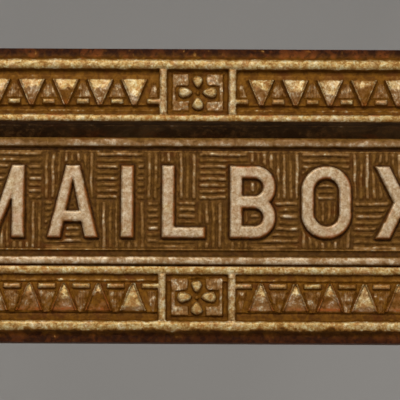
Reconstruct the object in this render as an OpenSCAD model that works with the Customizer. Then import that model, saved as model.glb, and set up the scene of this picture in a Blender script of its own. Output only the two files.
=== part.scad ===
// Ornamental letter plate with a sprung flap, in the style of cast door hardware
// of the 1880s. Millimetres. The row origin is the centre of the back face, where
// the plate lies on the door: +X to the right, +Z up, and the front faces -Y.

/* [Plate] */
// Overall width of the front plate
plate_w = 182; // [182:1:184]
// Overall height of the front plate
plate_h = 70; // [70:0.5:71]
// Depth of the casting from the door face to the crest of the outer ridge
plate_d = 7.5; // [7.2:0.1:8]
// Height of the square edge before the outer bevel starts
edge_h = 1.2; // [1:0.1:1.6]
// Inward run of the outer bevel
bevel_run = 3.1; // [2.8:0.1:3.4]
// Thickness of the outer and inner walls seen from the back
wall_t = 2.4; // [2:0.1:2.8]

/* [Letter slot] */
// Width of the letter slot
slot_w = 138.7; // [138.2:0.1:139]
// Height of the slot's top edge above the plate centre
slot_top = 17.2; // [17.2:0.1:17.4]
// Depth of the slot's bottom edge below the plate centre
slot_bottom = 16.75; // [16.7:0.05:16.9]
// Height of the closing ledge that the flap rests against
ledge_h = 2.4; // [2:0.1:2.6]

/* [Ornament] */
// Distance between neighbouring triangles
tri_pitch = 8.06; // [8:0.02:8.1]
// Number of triangles on each side of the middle block
tri_count = 7; // [5:1:7]
// Height of the letters
letter_h = 17.1; // [16.5:0.1:17.4]
// Stroke width of the letters
letter_t = 3; // [2.6:0.1:3.2]
// Side of one square of the basket weave
weave_cell = 12.07; // [11.8:0.01:12.2]
// Ribs in one square of the basket weave
weave_ribs = 8; // [6:1:9]

/* [Hinge] */
// Radius of the hinge pin
pin_r = 1.2; // [1.1:0.05:1.25]
// Radial running clearance of the flap on the pin
pin_clear = 0.08; // [0.05:0.01:0.1]
// Outer radius of the flap's knuckles
knuckle_r = 2.4; // [2.3:0.05:2.5]
// Wire diameter of the return springs
wire_d = 0.9; // [0.7:0.05:1]
// Turns in each return spring
spring_turns = 7; // [5:1:8]

/* [Fixings] */
// Distance between the two mounting screws
screw_span = 156.5; // [156:0.1:157]
// Shank radius of the mounting screws
screw_r = 1.75; // [1.7:0.05:1.85]
// Root radius of the mounting screws' thread
thread_r = 1.5; // [1.3:0.05:1.55]
// Length of the mounting screws under the head
screw_len = 25; // [20:1:32]

/* [Hidden] */
$fn = 48;

eps = 0.01;
w2 = plate_w / 2;
h2 = plate_h / 2;
slot_x = slot_w / 2;
// levels of the casting, measured from the door face
y_floor = -5.6;      // floor of the ornament channel
y_pocket = -3.2;     // floor of the hollow back
y_step = -6.1;       // low bands in the channel
y_tri = -7.0;        // tops of the triangles and petals
y_ledge = -2.8;      // face that the flap closes on
y_inner = -0.3;      // back of everything inside the outer wall
// channel outline
ridge_o = 2.4;       // width of the outer ridge
ridge_i = 1.65;      // width of the inner ridge
chan_x = w2 - bevel_run - ridge_o;
chan_zt = h2 - bevel_run - ridge_o;
chan_zb = -chan_zt;
in_x = slot_x + ridge_i;
in_zt = slot_top + ridge_i;
in_zb = -(slot_bottom + ridge_i);
// middle block of the long rails
block_w = 14.55;
bar_w = 1.65;
// flap
flap_x = slot_x - 0.45;
flap_top = 13.4;
flap_bottom = -16.3;
flap_back = -3.1;
flap_floor = -5.5;
flap_rim = -6.6;
flap_rim_w = 2;
// hinge axis
hy = -1.5;
hz = 11;
trough_r = 2.75;
hood_r = slot_top - hz;
lug_y = -1.9;        // hole in the flap's lugs for the spring ends
lug_z = 3.2;
// screws
screw_x = screw_span / 2;
head_r = 3.5;
boss_front = -7;

// extrudes a shape drawn in X and Z from depth y0 forwards by t
module slab(y0, t) translate([0, y0, 0]) rotate([90, 0, 0]) linear_extrude(t) children();
// a block given by its two corners
module box(a, b) translate(a) cube([b[0] - a[0], b[1] - a[1], b[2] - a[2]]);
// a cylinder along X from x0 to x1
module rod(x0, x1, r, y = hy, z = hz) translate([x0, y, z]) rotate([0, 90, 0]) cylinder(h = x1 - x0, r = r);
// a cylinder along Y from y0 to y1
module peg(y0, y1, r, x, z) translate([x, y1, z]) rotate([90, 0, 0]) cylinder(h = y1 - y0, r = r);

// ---- front plate ----
module plate_body() {
    intersection() {
        translate([-w2, 0, 0]) rotate([90, 0, 90]) linear_extrude(plate_w)
            polygon([[0, -h2], [0, h2], [-edge_h, h2], [-plate_d, h2 - bevel_run],
                     [-plate_d, -(h2 - bevel_run)], [-edge_h, -h2]]);
        translate([0, 0, -h2]) linear_extrude(plate_h)
            polygon([[-w2, 0], [w2, 0], [w2, -edge_h], [w2 - bevel_run, -plate_d],
                     [-(w2 - bevel_run), -plate_d], [-w2, -edge_h]]);
    }
}

// one triangle: base at distance 2.0 from the outer edge of the channel, apex inwards
module tri2d(s = 1) {
    polygon([[-3.05 * s, -2.0 * s], [3.05 * s, -2.0 * s], [0.55 * s, -8.1 * s], [-0.55 * s, -8.1 * s]]);
}
// short bar that stands between two triangle points
module dash2d(s = 1) translate([-1.7 * s, -8.0 * s]) square([3.4 * s, 1.3 * s]);

// ornament of one long rail, drawn with the channel's outer edge at Z 0 and running down
module rail_pattern() {
    first = block_w / 2 + bar_w / 2 + 6.83;
    for (side = [-1, 1]) {
        for (k = [0:tri_count - 1]) translate([side * (first + k * tri_pitch), 0]) tri2d();
        for (k = [0:tri_count - 2]) translate([side * (first + (k + 0.5) * tri_pitch), 0]) dash2d();
        translate([side * (block_w / 2 + bar_w + 1.4), 0]) translate([-1.6, -8]) square([3.2, 1.3]);
        translate([side * (in_x - bar_w - 1.4), 0]) translate([-1.6, -8]) square([3.2, 1.3]);
    }
}

// four petals and four corner quarter discs on a low field
module rosette(x, z, h) {
    slab(y_floor + eps, 0.55) translate([x, z]) intersection() {
        square([12.2, h - 1.8], center = true);
        union() for (sx = [-1, 1], sz = [-1, 1]) translate([sx * 6.1, sz * (h / 2 - 0.9)]) circle(r = 3.3);
    }
    slab(y_floor + eps, 1.3) translate([x, z]) {
        for (sx = [-1, 1]) translate([sx * 2.75, 0]) circle(r = 1.15);
        for (sz = [-1, 1]) translate([0, sz * 2.5]) circle(r = 1.15);
        circle(r = 0.7);
    }
}

// parts of the relief that stand in the channel
module plate_relief() {
    // low band beside the inner ridge of the long rails
    slab(y_floor + eps, 0.4) for (s = [-1, 1])
        translate([-in_x, s > 0 ? in_zt - eps : in_zb - 1.2 + eps]) square([2 * in_x, 1.2]);
    // triangles and bars
    slab(y_floor + eps, y_floor - y_tri) {
        translate([0, chan_zt]) rail_pattern();
        translate([0, chan_zb]) mirror([0, 1]) rail_pattern();
        for (s = [-1, 1], z = [-11.2, 11.4]) translate([s * chan_x, z]) rotate(s * -90) tri2d(1.3);
    }
    // bars that part the long rails into panels
    slab(y_floor + eps, y_floor + plate_d - 0.3) for (s = [-1, 1], r = [-1, 1]) {
        translate([s * (block_w / 2 + bar_w / 2) - bar_w / 2, r > 0 ? in_zt - eps : chan_zb - eps])
            square([bar_w, chan_zt - in_zt + 2 * eps + (r > 0 ? 0 : in_zt + in_zb)]);
        translate([s * (in_x - bar_w / 2) - bar_w / 2, r > 0 ? in_zt - eps : chan_zb - eps])
            square([bar_w, chan_zt - in_zt + 2 * eps + (r > 0 ? 0 : in_zt + in_zb)]);
        translate([s > 0 ? in_x - eps : -chan_x - eps, r > 0 ? in_zt - bar_w : in_zb])
            square([chan_x - in_x + 2 * eps, bar_w]);
    }
    // rosettes in the middle blocks and the corner blocks
    for (x = [0, -(in_x + chan_x) / 2, (in_x + chan_x) / 2]) {
        rosette(x, (in_zt + chan_zt) / 2, chan_zt - in_zt);
        rosette(x, (in_zb + chan_zb) / 2, in_zb - chan_zb);
    }
    // round bosses under the screw heads
    for (s = [-1, 1]) peg(boss_front, y_floor + eps, 5.2, s * screw_x, 0);
}

module hinge_saddle(s) {
    // block in the hollow back that carries the pin end, flush with the slot wall
    box([s > 0 ? slot_x : -(slot_x + 4.6), y_pocket - 0.4, 2.6],
        [s > 0 ? slot_x + 4.6 : -slot_x, y_inner, 14.6]);
}

// quarter-round hood over the hinge, just outside the path of the flap's top edge
module hood() {
    intersection() {
        difference() {
            rod(-slot_x, slot_x, hood_r + 1.4);
            rod(-slot_x - 1, slot_x + 1, hood_r);
        }
        box([-slot_x, hy, hz], [slot_x, hy + 10, hz + 10]);
    }
    // root of the hood on the slot's top wall
    box([-slot_x, -3, slot_top], [slot_x, y_inner, slot_top + 1.2]);
}

module front_plate() color("darkgoldenrod") {
    hood();
    plate_casting();
}

module plate_casting() difference() {
    union() {
        difference() {
            plate_body();
            // ornament channel
            slab(y_floor, 5) difference() {
                polygon([[-chan_x, chan_zb], [chan_x, chan_zb], [chan_x, chan_zt], [-chan_x, chan_zt]]);
                polygon([[-in_x, in_zb], [in_x, in_zb], [in_x, in_zt], [-in_x, in_zt]]);
            }
            // hollow back between the outer wall and the slot wall
            slab(1, 1 - y_pocket) difference() {
                square([plate_w - 2 * wall_t, plate_h - 2 * wall_t], center = true);
                polygon([[-(slot_x + wall_t), -(slot_bottom + wall_t)], [slot_x + wall_t, -(slot_bottom + wall_t)],
                         [slot_x + wall_t, slot_top + wall_t], [-(slot_x + wall_t), slot_top + wall_t]]);
            }
        }
        plate_relief();
        for (s = [-1, 1]) {
            hinge_saddle(s);
            // rear boss round each mounting screw
            peg(y_pocket - 0.2, 0, 4.6, s * screw_x, 0);
            // stiffening ribs in the hollow back
            box([s * 25 - 0.9, y_pocket - 0.2, slot_top + wall_t - 0.2], [s * 25 + 0.9, -0.6, h2 - wall_t + 0.2]);
            box([s * 25 - 0.9, y_pocket - 0.2, -(h2 - wall_t + 0.2)], [s * 25 + 0.9, -0.6, -(slot_bottom + wall_t - 0.2)]);
            box([s * 58 - 0.9, y_pocket - 0.2, slot_top + wall_t - 0.2], [s * 58 + 0.9, -0.6, h2 - wall_t + 0.2]);
            box([s * 58 - 0.9, y_pocket - 0.2, -(h2 - wall_t + 0.2)], [s * 58 + 0.9, -0.6, -(slot_bottom + wall_t - 0.2)]);
        }
    }
    // everything inside the outer wall stands back from the door
    box([-(w2 - wall_t), y_inner, -(h2 - wall_t)], [w2 - wall_t, 1, h2 - wall_t]);
    // letter slot, with a ledge left behind the flap on three sides
    box([-slot_x, -plate_d - 1, -slot_bottom], [slot_x, y_ledge, slot_top]);
    box([-(slot_x - ledge_h), y_ledge - 1, -(slot_bottom - ledge_h)], [slot_x - ledge_h, 1, slot_top]);
    box([-slot_x, y_ledge - 1, 6.5], [slot_x, 1, slot_top]);
    for (s = [-1, 1]) {
        // open slot for the pin end
        rod(s > 0 ? slot_x - 1 : -(slot_x + 3.7), s > 0 ? slot_x + 3.7 : -(slot_x - 1), pin_r + 0.06);
        box([s > 0 ? slot_x - 1 : -(slot_x + 3.7), hy, hz - pin_r - 0.06],
            [s > 0 ? slot_x + 3.7 : -(slot_x - 1), 1, hz + pin_r + 0.06]);
        // hole for the keeper screw
        peg(-3.1, 1, 1.0, s * (slot_x + 2.3), 5);
        // countersunk hole for the mounting screw
        peg(-9, 1, screw_r + 0.2, s * screw_x, 0);
        translate([s * screw_x, boss_front - eps, 0]) rotate([-90, 0, 0])
            cylinder(h = 1.85, r1 = head_r + 0.1, r2 = screw_r + 0.2);
    }
}

// ---- flap ----
// block capitals, each drawn from its lower left corner with height h and stroke t
module letter_i(h, t) square([t, h]);
module letter_l(h, t, w) { square([t, h]); square([w, t]); }
module letter_m(h, t, w) {
    square([t, h]);
    translate([w - t, 0]) square([t, h]);
    polygon([[0, h], [t, h], [w / 2, h * 0.36], [w - t, h], [w, h], [w, h - 0.2], [w / 2 + 0.001, 0.6], [w / 2 - 0.001, 0.6], [0, h - 0.2]]);
}
module letter_a(h, t, w) {
    difference() {
        polygon([[0, 0], [t * 1.05, 0], [w / 2, h * 0.79], [w - t * 1.05, 0], [w, 0], [w / 2 + t * 0.55, h], [w / 2 - t * 0.55, h]]);
    }
    polygon([[w * 0.24, h * 0.22], [w * 0.76, h * 0.22], [w * 0.70, h * 0.22 + t * 0.8], [w * 0.30, h * 0.22 + t * 0.8]]);
}
module letter_b(h, t, w) {
    r = (h + t) / 4;
    square([t, h]);
    for (z = [0, h - 2 * r]) translate([0, z]) difference() {
        union() { square([w - r, 2 * r]); translate([w - r, r]) circle(r = r); }
        translate([t - 0.001, t]) square([w - r - t + 0.001, 2 * r - 2 * t]);
        translate([w - r, r]) circle(r = r - t);
    }
}
module letter_o(h, t, w) {
    r = w / 2;
    difference() {
        union() { translate([0, r]) square([w, h - w]); translate([r, r]) circle(r = r); translate([r, h - r]) circle(r = r); }
        translate([t, r]) square([w - 2 * t, h - w]);
        translate([r, r]) circle(r = r - t);
        translate([r, h - r]) circle(r = r - t);
    }
}
module letter_x(h, t, w) {
    d = t * 1.12;
    polygon([[0, 0], [d, 0], [w, h], [w - d, h]]);
    polygon([[w - d, 0], [w, 0], [d, h], [0, h]]);
}
// the generic word on the flap, centred on X 0
letter_x0 = [-53.7, -35.2, -17.9, -8.3, 7.6, 24.4, 41.7];
module word2d(h = letter_h, t = letter_t) {
    translate([letter_x0[0], 0]) letter_m(h, t, 13.2);
    translate([letter_x0[1], 0]) letter_a(h, t, 12);
    translate([letter_x0[2], 0]) letter_i(h, t);
    translate([letter_x0[3], 0]) letter_l(h, t, 10.2);
    translate([letter_x0[4], 0]) letter_b(h, t, 10.8);
    translate([letter_x0[5], 0]) letter_o(h, t, 11.8);
    translate([letter_x0[6], 0]) letter_x(h, t, 12);
}

// ribs of the basket weave: squares whose ribs run across and down by turns
module weave2d(x_max, z_lo, z_mid, z_hi) {
    n = ceil(x_max / weave_cell);
    for (i = [-n:n - 1], row = [0, 1]) {
        a = max(-x_max, i * weave_cell) + 0.25;
        b = min(x_max, (i + 1) * weave_cell) - 0.25;
        z0 = (row == 0 ? z_lo : z_mid) + 0.2;
        z1 = (row == 0 ? z_mid : z_hi) - 0.2;
        across = (i + row + 101) % 2 == 0;
        if (across) for (k = [0:weave_ribs - 1])
            translate([a, z0 + (k + 0.5) * (z1 - z0) / weave_ribs - 0.35]) square([b - a, 0.7]);
        else for (k = [0:weave_ribs - 1])
            let (x = i * weave_cell + (k + 0.5) * weave_cell / weave_ribs)
            if (x - 0.35 > a - 0.25 && x + 0.35 < b + 0.25) translate([x - 0.35, z0]) square([0.7, z1 - z0]);
    }
}

module flap() color("peru") difference() {
    union() {
        difference() {
            union() {
                slab(flap_back, flap_back - flap_floor)
                    polygon([[-flap_x, flap_bottom], [flap_x, flap_bottom], [flap_x, flap_top], [-flap_x, flap_top]]);
                slab(flap_floor + eps, flap_floor - flap_rim) difference() {
                    polygon([[-flap_x, flap_bottom], [flap_x, flap_bottom], [flap_x, flap_top], [-flap_x, flap_top]]);
                    polygon([[-flap_x + flap_rim_w, flap_bottom + 1.8], [flap_x - flap_rim_w, flap_bottom + 1.8],
                             [flap_x - flap_rim_w, flap_top - flap_rim_w], [-flap_x + flap_rim_w, flap_top - flap_rim_w]]);
                }
                slab(flap_floor + eps, 0.4) weave2d(flap_x - flap_rim_w - 1, -12.9, -1.25, 10.3);
                slab(flap_floor + 0.2, 1.25) translate([0, -10.2]) word2d();
            }
            // trough that clears the pin, washers and springs
            rod(-flap_x - 1, flap_x + 1, trough_r);
            box([-flap_x - 1, -3.74, 12.6], [flap_x + 1, 0, flap_top + 1]);
        }
        for (s = [-1, 1]) {
            // knuckles with their webs
            for (k = [[16, 23], [50, 57], [65.9, 67.6]]) {
                rod(s > 0 ? k[0] : -k[1], s > 0 ? k[1] : -k[0], knuckle_r);
                box([s > 0 ? k[0] : -k[1], -4.6, hz - knuckle_r], [s > 0 ? k[1] : -k[0], hy, hz + knuckle_r]);
            }
            // lug on the back that the spring leg hooks into
            box([s > 0 ? 52 : -56.3, flap_back - 0.3, 1.5], [s > 0 ? 56.3 : -52, -0.6, 5]);
        }
    }
    rod(-flap_x - 1, flap_x + 1, pin_r + pin_clear);
    for (s = [-1, 1]) rod(s > 0 ? 50 : -60, s > 0 ? 60 : -50, 0.6, lug_y, lug_z);
}

// ---- hinge ----
module hinge_pin() color("dimgray") {
    rod(-(slot_x + 3.5), slot_x + 3.5, pin_r);
}
module hinge_washer(s) color("silver") difference() {
    rod(s > 0 ? 67.85 : -68.95, s > 0 ? 68.95 : -67.85, 2.35);
    rod(-90, 90, pin_r + 0.1);
}
module pin_keeper(s) color("gray") difference() {
    box([s > 0 ? slot_x + 0.3 : -(slot_x + 4.2), y_inner + 0.03, 3.2],
        [s > 0 ? slot_x + 4.2 : -(slot_x + 0.3), y_inner + 1.03, 13.6]);
    peg(-1, 2, 1.15, s * (slot_x + 2.3), 5);
}
module keeper_screw(s) color("silver") difference() {
    union() {
        peg(-2.9, y_inner + 1.1, 0.95, s * (slot_x + 2.3), 5);
        peg(y_inner + 1.06, y_inner + 2.16, 1.85, s * (slot_x + 2.3), 5);
    }
    translate([s * (slot_x + 2.3) - 0.25, y_inner + 1.7, 2]) cube([0.5, 2, 6]);
}

// Centreline of a return spring for the right side. It starts at the foot behind the
// plate's ledge, rises to the underside of the coil, winds inwards along the pin and
// ends in the hooked leg that passes through the flap's lug.
coil_r = 1.85;
coil_x0 = 65.1;
coil_x1 = 58.1;
coil_steps = 20;
foot_y = y_inner + wire_d / 2 + 0.02;
foot_z = 1.2;
// angle 0 points up (+Z) and the coil winds backwards (towards +Y) from there
coil_a0 = 180;
coil_a1 = 106 + spring_turns * 360;
function coil_pt(t) = let (a = coil_a0 + t * (coil_a1 - coil_a0))
    [coil_x0 + t * (coil_x1 - coil_x0), hy + coil_r * sin(a), hz + coil_r * cos(a)];
// quarter turn from rising to running forwards, radius r, ending at y, z
function quarter(r, y, z, x) = [for (a = [0:15:75]) [x, y + r * cos(a), z - r + r * sin(a)]];
end_pt = coil_pt(1);
spring_path = concat(
    [[71.2, foot_y, foot_z], [69, foot_y, foot_z], [67, foot_y, foot_z], [66, foot_y, foot_z],
     [65.5, foot_y, foot_z + 0.15], [65.2, foot_y, foot_z + 0.5], [coil_x0, foot_y, foot_z + 1.1]],
    [for (z = [3.4:1.5:6.4]) [coil_x0, foot_y, z]],
    quarter(1.6, foot_y - 1.6, hz - coil_r, coil_x0),
    [for (i = [0:1:coil_steps * spring_turns]) coil_pt(i / (coil_steps * spring_turns))],
    [for (t = [0.15:0.2:0.75]) [coil_x1 - 0.15, end_pt[1] + t * (lug_y - end_pt[1]), end_pt[2] + t * (lug_z + 0.9 - end_pt[2])]],
    [[coil_x1 - 0.17, lug_y + 0.05, lug_z + 1.1], [coil_x1 - 0.3, lug_y, lug_z + 0.5], [coil_x1 - 0.6, lug_y, lug_z + 0.15],
     [coil_x1 - 1.1, lug_y, lug_z], [56, lug_y, lug_z], [54, lug_y, lug_z], [52.5, lug_y, lug_z], [51, lug_y, lug_z]]);

function unit(v) = v / norm(v);
function tangent(p, i) = unit(p[min(i + 1, len(p) - 1)] - p[max(i - 1, 0)]);
// carries a normal along the path so that the tube keeps from twisting
function normals(p, i = 0, q = [0, 0, 0]) = i >= len(p) ? []
    : let (t = tangent(p, i), n = i == 0 ? unit(cross(t, [0, 1, 0.01])) : unit(q - (q * t) * t))
      concat([n], normals(p, i + 1, n));
module tube(p, r, k = 8) {
    ns = normals(p);
    pts = [for (i = [0:len(p) - 1]) let (t = tangent(p, i), n = ns[i], b = cross(t, n))
           for (j = [0:k - 1]) p[i] + r * (cos(360 * j / k) * n + sin(360 * j / k) * b)];
    m = len(p);
    faces = concat(
        [[for (j = [0:k - 1]) j]],
        [for (i = [0:m - 2], j = [0:k - 1]) [i * k + j, (i + 1) * k + j, (i + 1) * k + (j + 1) % k]],
        [for (i = [0:m - 2], j = [0:k - 1]) [i * k + j, (i + 1) * k + (j + 1) % k, i * k + (j + 1) % k]],
        [[for (j = [k - 1:-1:0]) (m - 1) * k + j]]);
    polyhedron(points = pts, faces = faces);
}
module return_spring(s) color("dimgray")
    if (s > 0) tube(spring_path, wire_d / 2);
    else mirror([1, 0, 0]) tube(spring_path, wire_d / 2);

// ---- mounting screws ----
module mounting_screw(s) color("goldenrod") difference() {
    translate([s * screw_x, 0, 0]) rotate([-90, 0, 0]) {
        // countersunk head with a raised oval top, shank and point
        translate([0, 0, boss_front + 0.05]) cylinder(h = 1.75, r1 = head_r, r2 = screw_r);
        translate([0, 0, boss_front - 0.25]) cylinder(h = 0.31, r = head_r);
        translate([0, 0, boss_front - 0.85]) cylinder(h = 0.61, r1 = head_r * 0.6, r2 = head_r);
        translate([0, 0, boss_front + 1.7]) cylinder(h = 0.6 - boss_front - 1.7, r = screw_r);
        translate([0, 0, 0.5]) cylinder(h = boss_front + screw_len - 4.5, r = thread_r);
        translate([0, 0, boss_front + screw_len - 4.01]) cylinder(h = 4, r1 = thread_r, r2 = 0.25);
    }
    translate([s * screw_x - 5, boss_front - 2, -0.4]) cube([10, 2.55, 0.8]);
}

front_plate();
flap();
hinge_pin();
hinge_washer(-1);  // hinge_washer_left
hinge_washer(1);  // hinge_washer_right
pin_keeper(-1);  // pin_keeper_left
pin_keeper(1);  // pin_keeper_right
keeper_screw(-1);  // keeper_screw_left
keeper_screw(1);  // keeper_screw_right
return_spring(-1);  // return_spring_left
return_spring(1);  // return_spring_right
mounting_screw(-1);  // mounting_screw_left
mounting_screw(1);  // mounting_screw_right
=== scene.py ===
"""Cast letter plate with a sprung flap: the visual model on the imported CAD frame.

Lengths in the drawing functions are millimetres in the row frame: +X right, +Z up, front faces -Y.
"""
import math

import bmesh
import bpy
import numpy as np
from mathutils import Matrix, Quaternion, Vector


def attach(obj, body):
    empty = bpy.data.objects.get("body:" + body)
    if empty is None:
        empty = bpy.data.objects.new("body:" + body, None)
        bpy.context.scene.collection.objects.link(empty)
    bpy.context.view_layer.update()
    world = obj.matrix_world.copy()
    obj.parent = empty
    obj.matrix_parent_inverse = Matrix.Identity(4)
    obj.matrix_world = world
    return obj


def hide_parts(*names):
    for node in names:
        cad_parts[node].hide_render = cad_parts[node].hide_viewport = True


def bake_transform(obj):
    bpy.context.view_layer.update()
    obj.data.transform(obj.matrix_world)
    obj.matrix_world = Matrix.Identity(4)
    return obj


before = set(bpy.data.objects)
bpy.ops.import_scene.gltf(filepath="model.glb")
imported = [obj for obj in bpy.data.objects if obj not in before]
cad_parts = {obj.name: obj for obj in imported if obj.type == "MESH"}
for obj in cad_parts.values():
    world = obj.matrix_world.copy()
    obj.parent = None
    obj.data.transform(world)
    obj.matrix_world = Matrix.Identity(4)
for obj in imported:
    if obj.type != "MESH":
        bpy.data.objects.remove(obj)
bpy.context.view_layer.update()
PLATE, FLAP = "plate_assembly", "flap_assembly"
MM = 0.001

# ---------------------------------------------------------------- dimensions
W2, H2 = 91.0, 35.0
BEVEL, RIDGE_O, RIDGE_I = 3.1, 2.4, 1.65
SX, ST, SB = 69.35, 17.2, 16.75
LEDGE = 2.4
CX, CZ = W2 - BEVEL - RIDGE_O, H2 - BEVEL - RIDGE_O
IX, IZT, IZB = SX + RIDGE_I, ST + RIDGE_I, SB + RIDGE_I
FLOOR = 5.6
BLOCK, BAR = 14.55, 1.65
PITCH, COUNT = 8.06, 7
FX, FT, FB = 68.9, 13.4, -16.55
HY, HZ = -1.5, 11.0
SCREW_X = 78.25
CELL, RIBS = 12.07, 8
Z_MID, Z_LO, Z_HI = -1.25, -12.95, 10.3

# ---------------------------------------------------------------- noise and shape helpers
_TAB = np.random.RandomState(41).rand(24, 256, 256)


def vnoise(x, z, cell, k):
    """Smooth lattice noise between -1 and 1."""
    u, v = x / cell + 3000.0, z / cell + 3000.0
    i, j = np.floor(u).astype(np.int64), np.floor(v).astype(np.int64)
    fu, fv = u - i, v - j
    fu, fv = fu * fu * (3 - 2 * fu), fv * fv * (3 - 2 * fv)
    t = _TAB[k % 24]
    i0, i1, j0, j1 = i % 256, (i + 1) % 256, j % 256, (j + 1) % 256
    a = t[i0, j0] * (1 - fu) + t[i1, j0] * fu
    b = t[i0, j1] * (1 - fu) + t[i1, j1] * fu
    return 2 * (a * (1 - fv) + b * fv) - 1


def fbm(x, z, cell, k, octaves=3):
    out, amp, total = 0.0, 1.0, 0.0
    for o in range(octaves):
        out = out + amp * vnoise(x + 17.3 * o, z - 9.1 * o, cell / 2 ** o, k + o)
        total += amp
        amp *= 0.55
    return out / total


def sstep(a, b, x):
    t = np.clip((x - a) / (b - a), 0, 1)
    return t * t * (3 - 2 * t)


def mix(a, b, t):
    return a + (b - a) * t


def poly_sd(x, z, pts):
    """Distance to a polygon's outline, positive inside."""
    d2 = np.full(x.shape, 1e18)
    inside = np.zeros(x.shape, bool)
    for (ax, az), (bx, bz) in zip(pts, pts[1:] + pts[:1]):
        ex, ez = bx - ax, bz - az
        wx, wz = x - ax, z - az
        t = np.clip((wx * ex + wz * ez) / (ex * ex + ez * ez + 1e-12), 0, 1)
        d2 = np.minimum(d2, (wx - ex * t) ** 2 + (wz - ez * t) ** 2)
        if abs(ez) > 1e-9:
            cross = ((az <= z) & (bz > z)) | ((bz <= z) & (az > z))
            inside ^= cross & (x < ax + (z - az) / ez * ex)
    return np.where(inside, 1.0, -1.0) * np.sqrt(d2)


def rect_sd(x, z, x0, x1, z0, z1):
    return np.minimum(np.minimum(x - x0, x1 - x), np.minimum(z - z0, z1 - z))


class Canvas:
    """A height map on a grid of x and z lines, with paint layers for the finish and for painted light and shade."""

    def __init__(self, xs, zs):
        self.xs, self.zs = np.asarray(xs, float), np.asarray(zs, float)
        self.X, self.Z = np.meshgrid(self.xs, self.zs)
        self.h = np.zeros(self.X.shape)
        self.paint = np.zeros(self.X.shape)
        self.pink = np.zeros(self.X.shape)
        self.red = np.zeros(self.X.shape)
        self.dark = np.zeros(self.X.shape)

    def win(self, x0, x1, z0, z1):
        i0, i1 = np.searchsorted(self.xs, [x0, x1])
        j0, j1 = np.searchsorted(self.zs, [z0, z1])
        return (slice(j0, j1), slice(i0, i1))

    def lift(self, sl, d, top, w=0.22, paint=None):
        """Raises the ground to top where d is positive, over a flank w wide."""
        f = sstep(-w * 0.6, w * 0.4, d)
        h = self.h[sl]
        self.h[sl] = np.where(top > h, h + (top - h) * f, h)
        if paint is not None:
            self.paint[sl] = mix(self.paint[sl], paint, f)


def crown(d, top, drop=0.22, r=0.7):
    """A top that rolls off by drop towards the shape's edge."""
    return top - drop * (1 - np.clip(d / r, 0, 1)) ** 2


# ---------------------------------------------------------------- front plate relief
def wedge(c, sl, a, v, down, length, half, tone):
    """One triangle: a is across, v runs from the wide end, down runs 0 to 1 down the face.

    tone is (where the facets meet, upper polish with painted light, lower polish with painted shade, edge polish, red
    stain)."""
    cut, hi, lo, rim_t, stain = tone
    hw = half - (half - 0.54) * v / length
    ds = (hw - np.abs(a)) * 0.92
    d = np.minimum(ds, np.minimum(v, length - v))
    t = np.clip(down, 0, 1)
    X, Z = c.X[sl], c.Z[sl]
    rag = 0.09 * vnoise(X, Z, 1.1, 5) + 0.06 * vnoise(X, Z, 0.42, 7)
    peak = np.clip(cut + rag, 0.12, 0.86)
    facet = np.where(t < peak, 6.28 + 0.44 * t / peak, 6.72 - 0.44 * (t - peak) / (1 - peak))
    facet = facet - 0.16 * (1 - np.clip(np.abs(a) / np.maximum(hw, 0.05), 0, 1) ** 2)
    rim = 7.02 - 5.5 * (ds - 0.22) ** 2
    top = np.where(ds < 0.5, np.maximum(rim, facet), facet)
    c.lift(sl, d, top, 0.2)
    inside = sstep(-0.02, 0.12, d)
    # the tool cut deeper along the left slope of the upper row; the cut is darkened with painted shade
    high, left = Z > 0, sstep(0.1, -0.1, a)
    cutline = sstep(-0.62, -0.36, ds) * sstep(0.0, -0.14, ds) * left * high * sstep(0.0, 0.5, v) * sstep(length + 0.1, length - 0.6, v)
    c.h[sl] = c.h[sl] - 0.22 * cutline
    c.dark[sl] = np.maximum(c.dark[sl], 0.45 * cutline)
    # painted light and shade: the upper row's left edges are painted lighter and its right edges darker, as from a lamp
    # at the upper left
    rim_t = rim_t + np.where(high, 0.20 * left - 0.12 * (1 - left), 0.0)
    edge = sstep(0.50, 0.28, ds) * (0.75 + 0.35 * vnoise(X, Z, 1.1, 12))
    # painted light and shade: the upper part of each triangle is painted lighter and the lower part darker, as from a
    # lamp above
    upper = sstep(cut + 0.07 + rag, cut - 0.05 + rag, t) * sstep(0.10, 0.42, ds)
    body = mix(lo, hi, upper) + 0.5 * rag
    c.paint[sl] = mix(c.paint[sl], mix(body, rim_t, np.clip(edge, 0, 1)), inside)
    c.pink[sl] = mix(c.pink[sl], 0.55 * (1 - upper) * (1 - edge) + 0.12, inside)
    tip = sstep(0.74, 0.95, t) * np.where(Z < 0, 0.45, 1.0) + sstep(0.30, 0.12, ds) * sstep(0.2, 0.6, vnoise(X, Z, 2.3, 19) + 0.4)
    slant = np.clip(edge, 0, 1) * (Z < 0) * sstep(0.25, 0.6, t) * sstep(-0.6, 0.2, vnoise(X, Z, 1.9, 15)) * (1.15 - 0.75 * left)
    c.red[sl] = mix(c.red[sl], np.clip(stain * (tip + 1.3 * slant + 1.0 * (Z < 0) * sstep(0.86, 0.93, t) * sstep(0.2, 0.5, vnoise(X, Z, 2.6, 8) + 0.3) + 0.22 * (1 - upper) * sstep(0.1, 0.6, vnoise(X, Z, 1.5, 1))), 0, 1), inside)
    c.dark[sl] *= 1 - inside
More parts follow.
